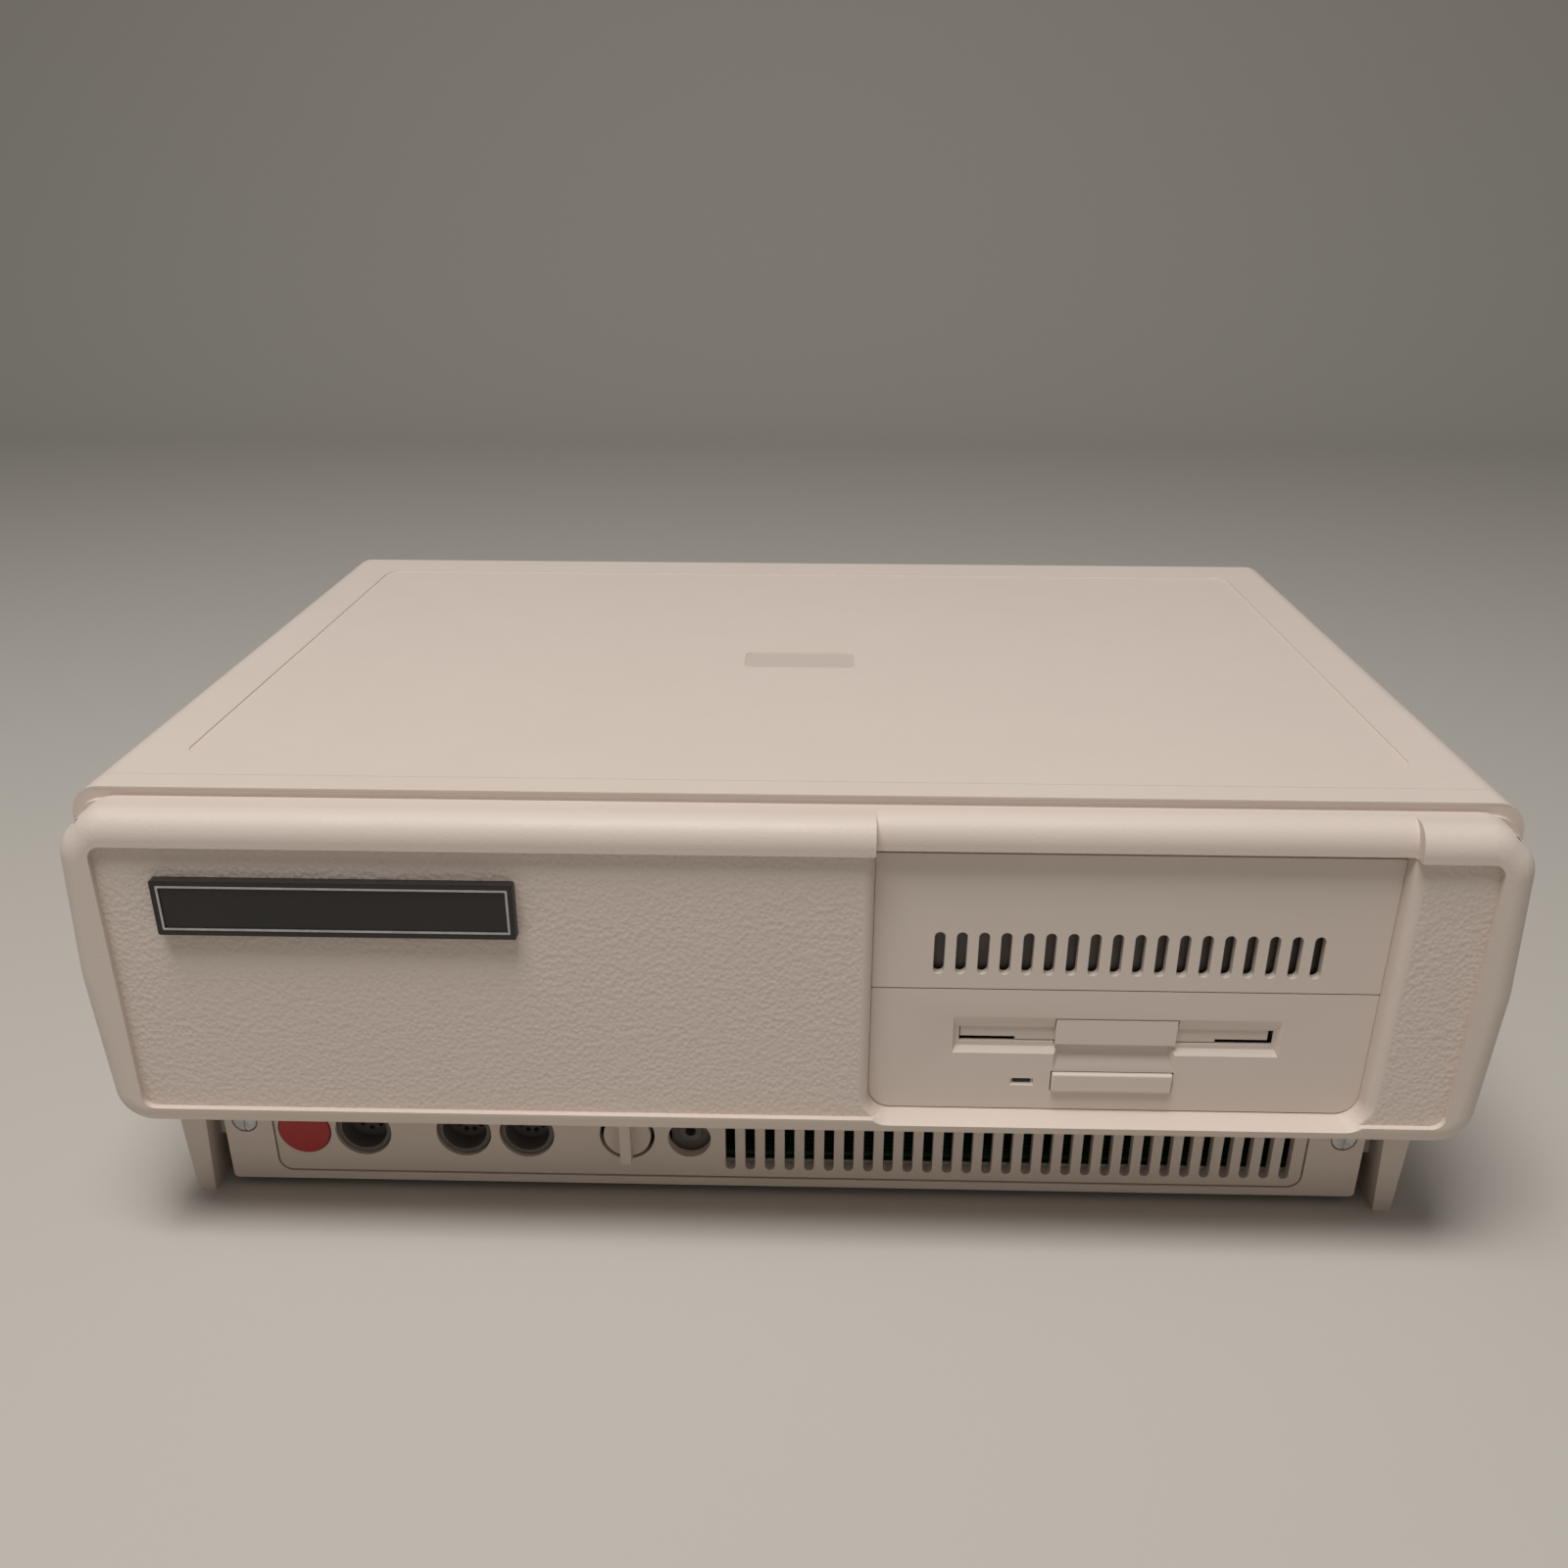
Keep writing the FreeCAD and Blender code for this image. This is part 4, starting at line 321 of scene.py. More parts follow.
@dataclass(frozen=True)
class SheetMetal:
    """Plated sheet steel or turned metal: rolled or turned lines under a bright coat.

    The eye sees crystals of slightly different grey, and a highlight drawn out along
    the lines.
    """

    name: str
    colour: str
    dark: str
    roughness: float = 0.38
    spangle_mm: float = 9.0
    # Width of a line, and the scale that draws it out along Y.
    line_mm: float = 0.6
    line_stretch: float = 0.02
    line_depth_mm: float = 0.01

    def build(self) -> bpy.types.Material:
        """Builds the node material.

        Returns:
            The finished material.
        """
        material, tree = new_material(self.name)
        place = add_node(tree, "ShaderNodeTexCoord").outputs["Object"]
        cells = add_node(
            tree,
            "ShaderNodeTexVoronoi",
            {"Scale": 1 / (self.spangle_mm * MM)},
            {"Vector": place},
        )
        shade = add_node(
            tree, "ShaderNodeSeparateColor", links={"Color": cells.outputs["Color"]}
        )
        tone = add_node(
            tree,
            "ShaderNodeMix",
            {"data_type": "RGBA", 6: linear(self.colour), 7: linear(self.dark)},
            {0: shade.outputs["Red"]},
        )
        stretched = add_node(
            tree,
            "ShaderNodeMapping",
            {"Scale": (1.0, self.line_stretch, 1.0)},
            {"Vector": place},
        )
        lines = add_node(
            tree,
            "ShaderNodeTexNoise",
            {"Scale": 1 / (self.line_mm * MM), "Detail": 2.0},
            {"Vector": stretched.outputs["Vector"]},
        )
        rough = add_node(
            tree,
            "ShaderNodeMapRange",
            {"To Min": self.roughness - 0.08, "To Max": self.roughness + 0.12},
            {"Value": lines.outputs["Fac"]},
        )
        bump = add_node(
            tree,
            "ShaderNodeBump",
            {"Strength": 0.25, "Distance": self.line_depth_mm * MM},
            {"Height": lines.outputs["Fac"]},
        )
        add_surface(
            tree,
            {"Metallic": 1.0},
            {
                "Base Color": tone.outputs[2],
                "Roughness": rough.outputs["Result"],
                "Normal": bump.outputs["Normal"],
            },
        )
        return material


@dataclass(frozen=True)
class CircuitBoard:
    """Glass-epoxy board under green solder mask, with copper tracks showing through.

    The eye sees a glossy deep green with lighter lines that catch the light.
    """

    name: str
    mask: str = "#1A4A2E"
    track: str = "#34724A"
    # Size of the pattern of tracks, and their height over the board.
    run_mm: float = 30.0
    track_height_mm: float = 0.04

    def build(self) -> bpy.types.Material:
        """Builds the node material.

        Returns:
            The finished material.
        """
        material, tree = new_material(self.name)
        place = add_node(tree, "ShaderNodeTexCoord").outputs["Object"]
        runs = add_node(
            tree,
            "ShaderNodeTexBrick",
            {
                "Scale": 1 / (self.run_mm * MM),
                "Color1": (0, 0, 0, 1),
                "Color2": (0, 0, 0, 1),
                "Mortar": (1, 1, 1, 1),
                "Mortar Size": 0.02,
                "Mortar Smooth": 0.05,
                "Brick Width": 0.9,
                "Row Height": 0.085,
                "offset": 0.37,
            },
            {"Vector": place},
        )
        mix = add_node(
            tree,
            "ShaderNodeMix",
            {"data_type": "RGBA", 6: linear(self.mask), 7: linear(self.track)},
            {0: runs.outputs["Color"]},
        )
        bump = add_node(
            tree,
            "ShaderNodeBump",
            {"Strength": 0.5, "Distance": self.track_height_mm * MM},
            {"Height": runs.outputs["Color"]},
        )
        add_surface(
            tree,
            {"Roughness": 0.35, "IOR": 1.55, "Coat Weight": 0.3},
            {"Base Color": mix.outputs[2], "Normal": bump.outputs["Normal"]},
        )
        return material


@dataclass(frozen=True)
class FlatCable:
    """Extruded PVC ribbon: a round rib for each wire, the first one marked red.

    The eye sees fine parallel lines of light, and the red edge.
    """

    name: str
    colour: str
    marked: str
    pitch_mm: float = 1.27
    rib_mm: float = 0.35
    # The wires below this X are the marked ones.
    marked_x: float = 0.0

    def build(self) -> bpy.types.Material:
        """Builds the node material.

        Returns:
            The finished material.
        """
        material, tree = new_material(self.name)
        place = add_node(tree, "ShaderNodeTexCoord").outputs["Object"]
        split = add_node(tree, "ShaderNodeSeparateXYZ", links={"Vector": place})
        count = add_node(
            tree,
            "ShaderNodeMath",
            {"operation": "MULTIPLY", 1: math.pi / (self.pitch_mm * MM)},
            {0: split.outputs["X"]},
        )
        wave = add_node(
            tree, "ShaderNodeMath", {"operation": "SINE"}, {0: count.outputs[0]}
        )
        rib = add_node(
            tree, "ShaderNodeMath", {"operation": "ABSOLUTE"}, {0: wave.outputs[0]}
        )
        first = add_node(
            tree,
            "ShaderNodeMath",
            {"operation": "LESS_THAN", 1: self.marked_x},
            {0: split.outputs["X"]},
        )
        tone = add_node(
            tree,
            "ShaderNodeMix",
            {"data_type": "RGBA", 6: linear(self.colour), 7: linear(self.marked)},
            {0: first.outputs[0]},
        )
        bump = add_node(
            tree,
            "ShaderNodeBump",
            {"Strength": 1.0, "Distance": self.rib_mm * MM},
            {"Height": rib.outputs[0]},
        )
        add_surface(
            tree,
            {"Roughness": 0.42, "IOR": 1.53},
            {"Base Color": tone.outputs[2], "Normal": bump.outputs["Normal"]},
        )
        return material


# One finish for each material slot of the record, with what it gives the eye.
FINISHES = {
    # Cream ABS, matt, with a fine mould grain: the broad soft highlight of the shell.
    # The sunk panel has the coarse grain, and the flat top face at 151.15 mm has
    # painted shade.
    "case_plastic": MouldedPlastic(
        "cream_abs_case",
        "#DBCDC3",
        "#D7C9BE",
        roughness=0.52,
        panel_y=-162.2 * MM,
        shade_plane_z=151.15 * MM,
    ),
    # The same ABS from a smoother mould: the bay's panels shine a little more.
    "panel_plastic": MouldedPlastic(
        "cream_abs_panel", "#DCCFC5", "#D9CBC0", roughness=0.42, grain=Grain.SATIN
    ),
    # A shade warmer and duller, as the port panel is next to the bay.
    "port_plastic": MouldedPlastic(
        "cream_abs_ports", "#D7CABF", "#D3C5B9", roughness=0.46, grain=Grain.SATIN
    ),
    # The legs, as matt as the shell.
    "rail_plastic": MouldedPlastic(
        "cream_abs_legs", "#D9CBC0", "#D5C7BB", roughness=0.5
    ),
    # The reset button: the one strong colour, with a satin face.
    "red_plastic": MouldedPlastic(
        "red_abs_button", "#B12A27", "#A62522", roughness=0.4, grain=Grain.SATIN
    ),
    # The badge: nearly black and smooth, so that it mirrors the room softly.
    "badge_black": MouldedPlastic(
        "black_abs_badge", "#1F1B1B", "#232020", roughness=0.38, grain=Grain.POLISHED
    ),
    # Its hot-stamped line: a thin bright foil.
    "badge_silver": SheetMetal(
        "silver_foil_line", "#C9C9C8", "#B9B9B8", roughness=0.35, spangle_mm=4.0
    ),
    # Sockets: dusty dark phenolic, greyer than the holes for the pins.
    "socket_black": MouldedPlastic(
        "dark_phenolic_socket", "#69635E", "#605A56", roughness=0.5, grain=Grain.SATIN
    ),
    # Chassis sheet: cool grey with large, faint zinc crystals.
    "zinc_steel": SheetMetal(
        "zinc_plated_sheet", "#C2C4C3", "#B8BBBA", spangle_mm=14.0
    ),
    # Screws: brighter than the sheet round them.
    "screw_steel": SheetMetal(
        "plated_screw_steel", "#BDBDBB", "#A5A5A3", roughness=0.3, spangle_mm=2.0
    ),
    # Main board: glossy green mask, with copper tracks as raised lighter lines.
    "board_green": CircuitBoard("green_solder_mask"),
    # Chips and blocks: dull black epoxy, a little lighter than the shadows.
    "component_black": MouldedPlastic(
        "black_epoxy_parts", "#262628", "#2D2D2F", roughness=0.55, grain=Grain.SATIN
    ),
    # Socket shells, chip legs and the crystal: the brightest metal.
    "socket_metal": SheetMetal(
        "tinned_socket_shell", "#CFCFCD", "#BBBBBA", roughness=0.28, spangle_mm=3.0
    ),
    # The drive's unlit lamp: glossy and almost black.
    "lamp_lens": MouldedPlastic(
        "smoked_lamp_lens", "#161213", "#1A1516", roughness=0.2, grain=Grain.POLISHED
    ),
    # The drive's frame: even, grey and dull, with no drawn highlight.
    "cast_metal": SheetMetal(
        "die_cast_alloy", "#B4B5B6", "#A2A3A4", roughness=0.5, spangle_mm=1.5
    ),
    # Motors, hub, rods and screw: darker steel with a tighter highlight.
    "motor_metal": SheetMetal(
        "turned_motor_steel", "#A8A9AA", "#939495", roughness=0.33, spangle_mm=2.0
    ),
    # The drive's own board, a lighter green than the main one.
    "drive_circuit": CircuitBoard("green_drive_board", "#1E5C3C", "#39845A"),
    # Flat cable: grey ribs with the first wire in red.
    "ribbon_grey": FlatCable(
        "grey_pvc_ribbon", "#ABABA8", "#A23B30", marked_x=54.2 * MM
    ),
    # The cables' plug blocks, in black nylon. Only the record's slot is called beige.
    "header_beige": MouldedPlastic(
        "black_nylon_header", "#2A2A2B", "#303031", roughness=0.5, grain=Grain.SATIN
    ),
    # Power leads: smooth red sleeves with a bright line along them.
    "lead_insulation": MouldedPlastic(
        "red_pvc_lead", "#A33427", "#9A2F23", roughness=0.4, grain=Grain.POLISHED
    ),
    # The speaker: black paint, a little rougher than plastic.
    "speaker_cone": MouldedPlastic(
        "black_painted_basket", "#242425", "#2B2B2C", roughness=0.5, grain=Grain.SATIN
    ),
}


@dataclass
class Finisher:
    """Softens the edges of the CAD nodes and gives each its finish."""

    edge_mm: float = 0.35
    # Points closer than this become one, and faces bent by less than this become one.
    weld_mm: float = 0.002
    flat_angle: float = 0.3
    # Nodes that are round already, or whose faces a rounding would fold.
    plain: tuple[str, ...] = ("ribbon_cable", "power_leads", "fan_guard", "volume_knob")
    made: dict[str, bpy.types.Material] = field(default_factory=dict)

    def material(self, slot: str) -> bpy.types.Material:
        """Gives the material of a record slot, built once.

        Args:
            slot: Name of the material slot in the record.

        Returns:
            The finished material.
        """
        if slot not in self.made:
            self.made[slot] = FINISHES[slot].build()
        return self.made[slot]

    def dress(self) -> None:
        """Gives every CAD node its finish and soft edges."""
        for part in frame["record"]["subparts"]:
            node = frame["nodes"][part["node"]]
            material = self.material(part["material_slot"])
            node.data.materials.clear()
            node.data.materials.append(material)
            self.soften(node)
            LOG.info("%s is finished in %s", part["node"], material.name)

    def soften(self, node: bpy.types.Object) -> None:
        """Rounds a node's sharp edges with modifiers, so that its own mesh stays.

        Args:
            node: CAD node.
        """
        weld = node.modifiers.new("weld", "WELD")
        weld.merge_threshold = self.weld_mm * MM
        flat = node.modifiers.new("one_face_each", "DECIMATE")
        flat.decimate_type = "DISSOLVE"
        flat.angle_limit = math.radians(self.flat_angle)
        if node.name not in self.plain:
            bevel = node.modifiers.new("soft_edges", "BEVEL")
            bevel.width = self.edge_mm * MM
            bevel.segments = 2
            bevel.limit_method = "ANGLE"
            bevel.angle_limit = math.radians(SHARP_ANGLE)
            bevel.use_clamp_overlap = True
        shading = node.modifiers.new("smooth_by_angle", "NODES")
        shading.node_group = smooth_by_angle(SHARP_ANGLE)
        even = node.modifiers.new("flat_faces_stay_flat", "WEIGHTED_NORMAL")
        even.mode = "FACE_AREA"
        even.weight = 80
        even.keep_sharp = True


def smooth_by_angle(degrees: float) -> bpy.types.NodeTree:
    """Gives the node group that shades a mesh smooth except at its sharp edges.

    Args:
        degrees: Angle over which an edge stays sharp.

    Returns:
        The geometry node group, built once for each angle.
    """
    name = f"smooth_under_{degrees:.0f}_degrees"
    if name in bpy.data.node_groups:
        return bpy.data.node_groups[name]
    tree = bpy.data.node_groups.new(name, "GeometryNodeTree")
    for way in ("INPUT", "OUTPUT"):
        tree.interface.new_socket(
            "Geometry", in_out=way, socket_type="NodeSocketGeometry"
        )
    start = add_node(tree, "NodeGroupInput")
    angle = add_node(tree, "GeometryNodeInputMeshEdgeAngle")
    gentle = add_node(
        tree,
        "FunctionNodeCompare",
        {"data_type": "FLOAT", "operation": "LESS_THAN", "B": math.radians(degrees)},
        {"A": angle.outputs["Unsigned Angle"]},
    )
    edges = add_node(
        tree,
        "GeometryNodeSetShadeSmooth",
        {"domain": "EDGE"},
        {
            "Geometry": start.outputs["Geometry"],
            "Shade Smooth": gentle.outputs["Result"],
        },
    )
    faces = add_node(
        tree,
        "GeometryNodeSetShadeSmooth",
        {"domain": "FACE"},
        {"Geometry": edges.outputs["Geometry"]},
    )
    add_node(tree, "NodeGroupOutput", links={"Geometry": faces.outputs["Geometry"]})
    return tree


def tint(colour: str) -> MouldedPlastic:
    """Gives a plain polished plastic of one colour, for a shrunk-on sleeve.

    Args:
        colour: Colour such as "#22304C".

    Returns:
        The finish.
    """
    return MouldedPlastic(
        "moulded_sleeve_" + colour[1:].lower(), colour, colour, 0.35, Grain.POLISHED
    )


def new_piece(
    name: str,
    form: bmesh.types.BMesh,
    finishes: list[bpy.types.Material],
    body: Body,
    bevel_mm: float = 0.0,
) -> bpy.types.Object:
    """Turns a mesh in millimetres into a piece that rides on a body.

    Args:
        name: Name of the piece.
        form: Its mesh, in millimetres.
        finishes: Materials by face index.
        body: Body that carries it.
        bevel_mm: Width of the rounding of its edges, or 0 for none.

    Returns:
        The new object.
    """
    bmesh.ops.scale(form, vec=(MM, MM, MM), verts=form.verts)
    bmesh.ops.recalc_face_normals(form, faces=form.faces)
    mesh = bpy.data.meshes.new(name)
    form.to_mesh(mesh)
    form.free()
    for finish in finishes:
        mesh.materials.append(finish)
    piece = bpy.data.objects.new(name, mesh)
    bpy.context.scene.collection.objects.link(piece)
    if bevel_mm > 0:
        bevel = piece.modifiers.new("soft_edges", "BEVEL")
        bevel.width = bevel_mm * MM
        bevel.segments = 2
        bevel.limit_method = "ANGLE"
    shading = piece.modifiers.new("smooth_by_angle", "NODES")
    shading.node_group = smooth_by_angle(SHARP_ANGLE)
    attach(piece, body.value)
    LOG.info("%s rides on %s", name, body.value)
    return piece


def add_box(
    form: bmesh.types.BMesh,
    low: tuple[float, float, float],
    high: tuple[float, float, float],
) -> None:
    """Adds a box between two corners to a mesh.

    Args:
        form: Mesh that gets the box.
        low: Lowest corner in millimetres.
        high: Highest corner in millimetres.
    """
    size = Vector(high) - Vector(low)
    middle = (Vector(high) + Vector(low)) / 2
    place = Matrix.Translation(middle) @ Matrix.Diagonal((*size, 1.0))
    bmesh.ops.create_cube(form, size=1.0, matrix=place)


def add_lathe(
    form: bmesh.types.BMesh,
    place: Vector,
    axis: Vector,
    profile: list[tuple[float, float, int]],
    steps: int = 24,
) -> None:
    """Adds a turned shape to a mesh.

    Args:
        form: Mesh that gets the shape.
        place: Start of its axis in millimetres.
        axis: Direction of its axis.
        profile: Radius, distance along the axis, and material index of what follows.
        steps: Number of sides.
    """
    turn = axis.to_track_quat("Z", "Y").to_matrix()
    rings = []
    for radius, along, _ in profile:
        ring = []
        for i in range(steps):
            angle = 2 * math.pi * i / steps
            spot = Vector((radius * math.cos(angle), radius * math.sin(angle), along))
            ring.append(form.verts.new(place + turn @ spot))
        rings.append(ring)
    for i in range(len(rings) - 1):
        for j in range(steps):
            k = (j + 1) % steps
            near, far = rings[i], rings[i + 1]
            face = form.faces.new((near[j], near[k], far[k], far[j]))
            face.material_index = profile[i][2]
    form.faces.new(rings[0]).material_index = profile[0][2]
    form.faces.new(rings[-1]).material_index = profile[-2][2]


@dataclass
class BayShield:
    """Steel sheet behind the slots of the blank panel, with stiffening beads.

    Its measures are in millimetres.
    """

    left: float = 28.0
    right: float = 175.0
    front: float = -151.9
    thick: float = 0.6
    low: float = 95.5
    high: float = 136.0
    bead_z: tuple[float, ...] = (100.0, 131.0)
    bead_inset: float = 6.0
    bead_half: float = 1.5
    bead_depth: float = 0.7

    def build(self) -> None:
        """Builds the sheet and dresses it."""
        form = bmesh.new()
        back = self.front + self.thick
        add_box(form, (self.left, self.front, self.low), (self.right, back, self.high))
        for z in self.bead_z:
            left, right = self.left + self.bead_inset, self.right - self.bead_inset
            low, high = z - self.bead_half, z + self.bead_half
            add_box(form, (left, back, low), (right, back + self.bead_depth, high))
        # Dull steel painted dark as shade, so that the slots look deep.
        shade_dark_steel = SheetMetal("slot_shade_sheet", "#6F6B68", "#625E5B", 0.55).build()
        new_piece("bay_shield", form, [shade_dark_steel], Body.CHASSIS, 0.2)


@dataclass
class BoardDetail:
    """Chip legs, capacitors and a crystal on the main board.

    Everything is in millimetres. A depth is counted from the bezel's front face.
    """

    board_top: float = 13.0
    # Legs of the long chips: spacing, free length at a chip's ends, and shape.
    pitch: float = 2.54
    chip_ends: float = 2.0
    leg_wide: float = 1.2
    leg_thin: float = 0.25
    leg_out: float = 0.9
    shoulder_share: float = 0.55
    foot_share: float = 0.6
    # Legs of the square chips: spacing, number on a side, half width and height.
    fine_pitch: float = 1.27
    square_legs: int = 17
    fine_half: float = 0.3
    fine_high: float = 2.2
    # Long chips: X of the middle, depth of the front end, width, length and height.
    large: tuple[tuple[float, float, float, float, float], ...] = (
        (-30.0, 90.0, 14.0, 52.0, 6.0),
        (10.0, 90.0, 14.0, 52.0, 6.0),
        (110.0, 80.0, 14.0, 36.0, 5.0),
        (-10.0, 210.0, 14.0, 36.0, 5.0),
        (30.0, 210.0, 14.0, 36.0, 5.0),
        (140.0, 100.0, 14.0, 28.0, 5.0),
    )
    # Memory chips: first X and step, number in a row, depths of the rows, and size.
    memory_x: float = -174.0
    memory_step: float = 14.0
    memory_in_row: int = 8
    memory_rows: tuple[float, ...] = (74.0, 106.0, 138.0)
    memory_size: tuple[float, float, float] = (7.6, 19.0, 4.4)
    # Square chips: X of the middle, depth of the front side, and side.
    square: tuple[tuple[float, float, float], ...] = (
        (60.0, 72.0, 28.0),
        (60.0, 118.0, 28.0),
    )
    # Capacitors: X, depth and radius, and how tall they are for their radius.
    cans: tuple[tuple[float, float, float], ...] = (
        (-60.0, 72.0, 4.0),
        (-60.0, 84.0, 4.0),
        (36.0, 66.0, 5.0),
        (86.0, 66.0, 4.0),
        (-50.0, 180.0, 5.0),
        (-38.0, 180.0, 5.0),
        (60.0, 214.0, 6.3),
        (74.0, 214.0, 6.3),
        (-50.0, 150.0, 4.0),
    )
    can_shape: float = 2.6

    def build(self, finisher: Finisher) -> None:
        """Builds the legs, the cans and the crystal.

        Args:
            finisher: Gives the material of the record's slots.
        """
        self._legs(finisher)
        self._cans()
        self._crystal(finisher)

    def _legs(self, finisher: Finisher) -> None:
        """Adds two rows of bent legs to each long chip, and four to a square one.

        Args:
            finisher: Gives the material of the record's slots.
        """
        form = bmesh.new()
        memory = [
            (self.memory_x + self.memory_step * i, d, *self.memory_size)
            for i in range(self.memory_in_row)
            for d in self.memory_rows
        ]
        for x, d, width, length, height in [*self.large, *memory]:
            count = int((length - self.chip_ends) / self.pitch)
            first = d + (length - (count - 1) * self.pitch) / 2 + FRONT_Y
            for side in (-1, 1):
                edge = x + side * width / 2
                for i in range(count):
                    self._leg(form, edge, side, first + i * self.pitch, height)
        for x, d, size in self.square:
            self._square_legs(form, x, d + size / 2 + FRONT_Y, size / 2)
        tinned = finisher.material("socket_metal")
        new_piece("chip_legs", form, [tinned], Body.CHASSIS)

    def _leg(
        self, form: bmesh.types.BMesh, edge: float, side: int, y: float, height: float
    ) -> None:
        """Adds one bent leg.

        Args:
            form: Mesh that gets the leg.
            edge: X of the chip's side.
            side: 1 on the right of the chip and -1 on its left.
            y: Y of the leg.
            height: Height of the chip.
        """
        shoulder = self.board_top + height * self.shoulder_share
        out = edge + side * self.leg_out
        half = self.leg_wide / 2
        foot = half * self.foot_share
        low, high = sorted((edge, out))
        add_box(
            form,
            (low, y - half, shoulder - self.leg_thin),
            (high, y + half, shoulder),
        )
        low, high = sorted((out - side * self.leg_thin, out))
        add_box(form, (low, y - foot, self.board_top), (high, y + foot, shoulder))

    def _square_legs(
        self, form: bmesh.types.BMesh, x: float, y: float, half: float
    ) -> None:
        """Adds the four rows of short legs of a square chip.

        Args:
            form: Mesh that gets the legs.
            x: X of the chip's middle.
            y: Y of the chip's middle.
            half: Half of the chip's side.
        """
        wide = self.fine_half
        for i in range(self.square_legs):
            off = (i - (self.square_legs - 1) / 2) * self.fine_pitch
            for side in (-1, 1):
                reach = side * (half + wide)
                for px, py in ((x + reach, y + off), (x + off, y + reach)):
                    add_box(
                        form,
                        (px - wide, py - wide, self.board_top),
                        (px + wide, py + wide, self.board_top + self.fine_high),
                    )

    def _cans(self) -> None:
        """Adds upright capacitors with a sleeve and a scored metal top."""
        form = bmesh.new()
        for x, d, radius in self.cans:
            y = d + FRONT_Y
            tall = radius * self.can_shape
            # Foot, groove and shoulder in the sleeve, and then the bare top of the can.
            profile = [
                (radius * 0.92, 0.0, 0),
                (radius, 0.5, 0),
                (radius, 1.6, 0),
                (radius * 0.93, 2.0, 0),
                (radius, 2.5, 0),
                (radius, tall - 0.6, 0),
                (radius * 0.93, tall, 0),
                (radius * 0.86, tall, 1),
                (radius * 0.80, tall - 0.35, 1),
            ]
            foot = Vector((x, y, self.board_top))
            add_lathe(form, foot, Vector((0, 0, 1)), profile)
            # The two score lines that cross on the top.
            for wide, deep in ((radius * 0.7, 0.12), (0.12, radius * 0.7)):
                add_box(
                    form,
                    (x - wide, y - deep, self.board_top + tall - 0.4),
                    (x + wide, y + deep, self.board_top + tall - 0.25),
                )
        # Shrunk-on sleeve: glossy dark blue. Can top: bright drawn aluminium.
        sleeve = tint("#22304C").build()
        top = SheetMetal("capacitor_can_top", "#C6C7C8", "#B5B6B7", 0.3, 3.0).build()
        new_piece(
            "board_capacitors", form, [sleeve, top], Body.CHASSIS
        )

    def _crystal(self, finisher: Finisher) -> None:
        """Adds the flat can of the clock crystal and its flange.

        Args:
            finisher: Gives the material of the record's slots.
        """
        form = bmesh.new()
        foot = self.board_top
        add_box(form, (30.0, -64.0, foot + 0.4), (41.0, -59.5, foot + 13.0))
        add_box(form, (29.6, -64.4, foot), (41.4, -59.1, foot + 0.6))
        tinned = finisher.material("socket_metal")
        new_piece("clock_crystal", form, [tinned], Body.CHASSIS, 0.9)


@dataclass(frozen=True)
class SoftLamp:
    """Square soft lamp that points at the machine.

    Its place, its side and its aim are in metres, and its power is in watts.
    """

    name: str
    place: tuple[float, float, float]
    size: float
    power: float
    colour: str
    aim: tuple[float, float, float] = (0.0, 0.0, 0.08)

    def build(self) -> None:
        """Adds the lamp to the scene."""
        lamp = bpy.data.lights.new(self.name, "AREA")
        lamp.shape = "SQUARE"
        lamp.size = self.size
        lamp.energy = self.power
        lamp.color = linear(self.colour)[:3]
        holder = bpy.data.objects.new(self.name, lamp)
        holder.location = self.place
        ahead = Vector(self.aim) - Vector(self.place)
        holder.rotation_euler = ahead.to_track_quat("-Z", "Y").to_euler()
        bpy.context.scene.collection.objects.link(holder)


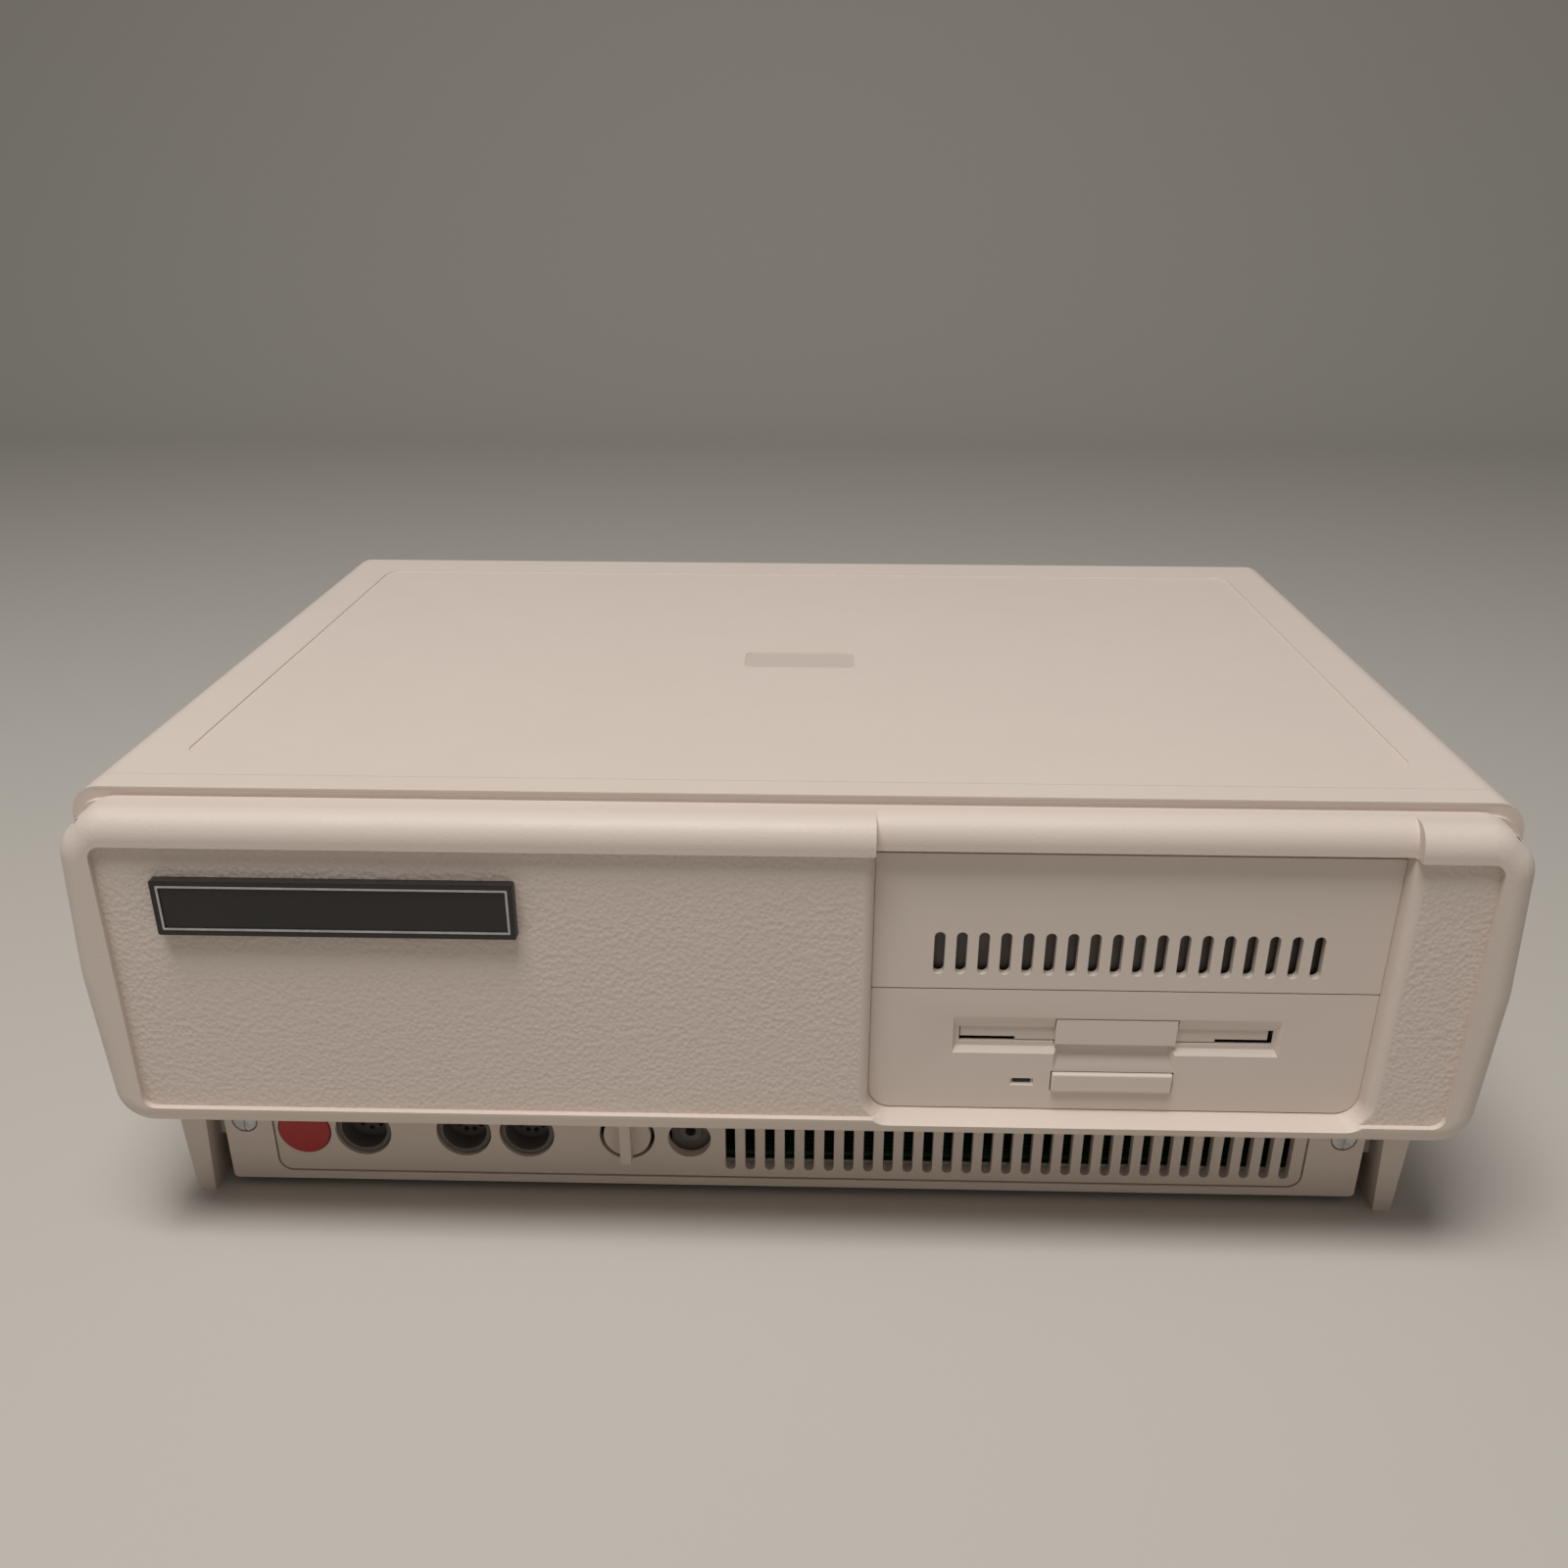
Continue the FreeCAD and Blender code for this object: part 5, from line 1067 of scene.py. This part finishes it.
@dataclass
class Studio:
    """Pale floor, soft lamps and the camera at the photograph's viewing angle."""

    eye_mm: tuple[float, float, float] = (8.983, -568.846, 309.230)
    pitch: float = 28.111
    yaw: float = -1.462
    roll: float = 0.180
    focal_px: float = 1562.0
    centre_row_px: float = 1020.55
    image_px: float = 1600.0
    sensor_mm: float = 36.0
    nearest: float = 0.02
    # The floor, in metres: half its width, where it turns up, how widely, and its top.
    floor_half: float = 3.0
    back_y: float = 1.6
    sweep: float = 0.6
    sweep_steps: int = 16
    back_top: float = 4.0
    floor_colour: str = "#C4BFB8"
    fibre_mm: float = 4.0
    fibre_height_mm: float = 0.05
    room_colour: str = "#F4F3F1"
    room_light: float = 0.16
    # A large lamp above the machine, and a weak warm one that opens its shadows.
    lamps: tuple[SoftLamp, ...] = (
        SoftLamp("top_softbox", (-0.2, -0.52, 1.7), 0.75, 23.5, "#FFFDFA"),
        SoftLamp("front_fill", (0.5, -1.9, 0.8), 1.3, 1.2, "#FFE8D4"),
    )

    def build(self) -> None:
        """Builds the floor, the lamps and the camera."""
        self._floor()
        self._world()
        for lamp in self.lamps:
            lamp.build()
        self._camera()
        bpy.context.scene.view_settings.view_transform = "Standard"

    def _floor(self) -> None:
        """Makes the floor with a swept-up back."""
        mesh = bpy.data.meshes.new("studio_floor")
        form = bmesh.new()
        profile = [(-self.floor_half, 0.0), (self.back_y, 0.0)]
        for i in range(1, self.sweep_steps + 1):
            turn = math.pi / 2 * i / self.sweep_steps
            ahead = self.back_y + self.sweep * math.sin(turn)
            profile.append((ahead, self.sweep * (1 - math.cos(turn))))
        profile.append((self.back_y + self.sweep, self.back_top))
        rows = [
            [form.verts.new((side * self.floor_half, y, z)) for y, z in profile]
            for side in (-1, 1)
        ]
        for i in range(len(profile) - 1):
            left, right = rows[0][i : i + 2], rows[1][i : i + 2]
            form.faces.new((left[0], right[0], right[1], left[1])).smooth = True
        form.to_mesh(mesh)
        form.free()
        floor = bpy.data.objects.new("studio_floor", mesh)
        bpy.context.scene.collection.objects.link(floor)
        # Pale matt paper: the eye sees an even floor with a soft contact shadow.
        material, tree = new_material("pale_matt_paper")
        place = add_node(tree, "ShaderNodeTexCoord").outputs["Object"]
        fibre = add_node(
            tree,
            "ShaderNodeTexNoise",
            {"Scale": 1 / (self.fibre_mm * MM), "Detail": 4.0},
            {"Vector": place},
        )
        bump = add_node(
            tree,
            "ShaderNodeBump",
            {"Strength": 0.1, "Distance": self.fibre_height_mm * MM},
            {"Height": fibre.outputs["Fac"]},
        )
        add_surface(
            tree,
            {
                "Base Color": linear(self.floor_colour),
                "Roughness": 0.75,
                "Specular IOR Level": 0.25,
            },
            {"Normal": bump.outputs["Normal"]},
        )
        mesh.materials.append(material)

    def _world(self) -> None:
        """Gives the room an even pale light."""
        world = bpy.data.worlds.new("studio_room")
        world.use_nodes = True
        tree = world.node_tree
        tree.nodes.clear()
        sky = add_node(
            tree,
            "ShaderNodeBackground",
            {"Color": linear(self.room_colour), "Strength": self.room_light},
        )
        add_node(
            tree,
            "ShaderNodeOutputWorld",
            links={"Surface": sky.outputs["Background"]},
        )
        bpy.context.scene.world = world

    def _camera(self) -> None:
        """Sets up the camera where the photograph was taken from."""
        pitch, yaw, roll = (math.radians(a) for a in (self.pitch, self.yaw, self.roll))
        ahead = Vector(
            (
                math.sin(yaw) * math.cos(pitch),
                math.cos(yaw) * math.cos(pitch),
                -math.sin(pitch),
            )
        )
        level = ahead.cross(Vector((0, 0, 1))).normalized()
        above = level.cross(ahead)
        right = level * math.cos(roll) + above * math.sin(roll)
        up = above * math.cos(roll) - level * math.sin(roll)
        turn = Matrix((right, up, -ahead)).transposed().to_4x4()
        lens = bpy.data.cameras.new("photo_camera")
        lens.sensor_width = self.sensor_mm
        lens.lens = self.focal_px / self.image_px * lens.sensor_width
        lens.shift_y = (self.centre_row_px - self.image_px / 2) / self.image_px
        lens.clip_start = self.nearest
        camera = bpy.data.objects.new("photo_camera", lens)
        camera.matrix_world = Matrix.Translation(Vector(self.eye_mm) * MM) @ turn
        bpy.context.scene.collection.objects.link(camera)
        bpy.context.scene.camera = camera


def main() -> None:
    """Dresses the frame and builds the studio."""
    logging.basicConfig(level=logging.INFO, format="%(name)s: %(message)s")
    finisher = Finisher()
    finisher.dress()
    BayShield().build()
    BoardDetail().build(finisher)
    Studio().build()
    LOG.info("sizes are written")


if __name__ == "__main__":
    main()
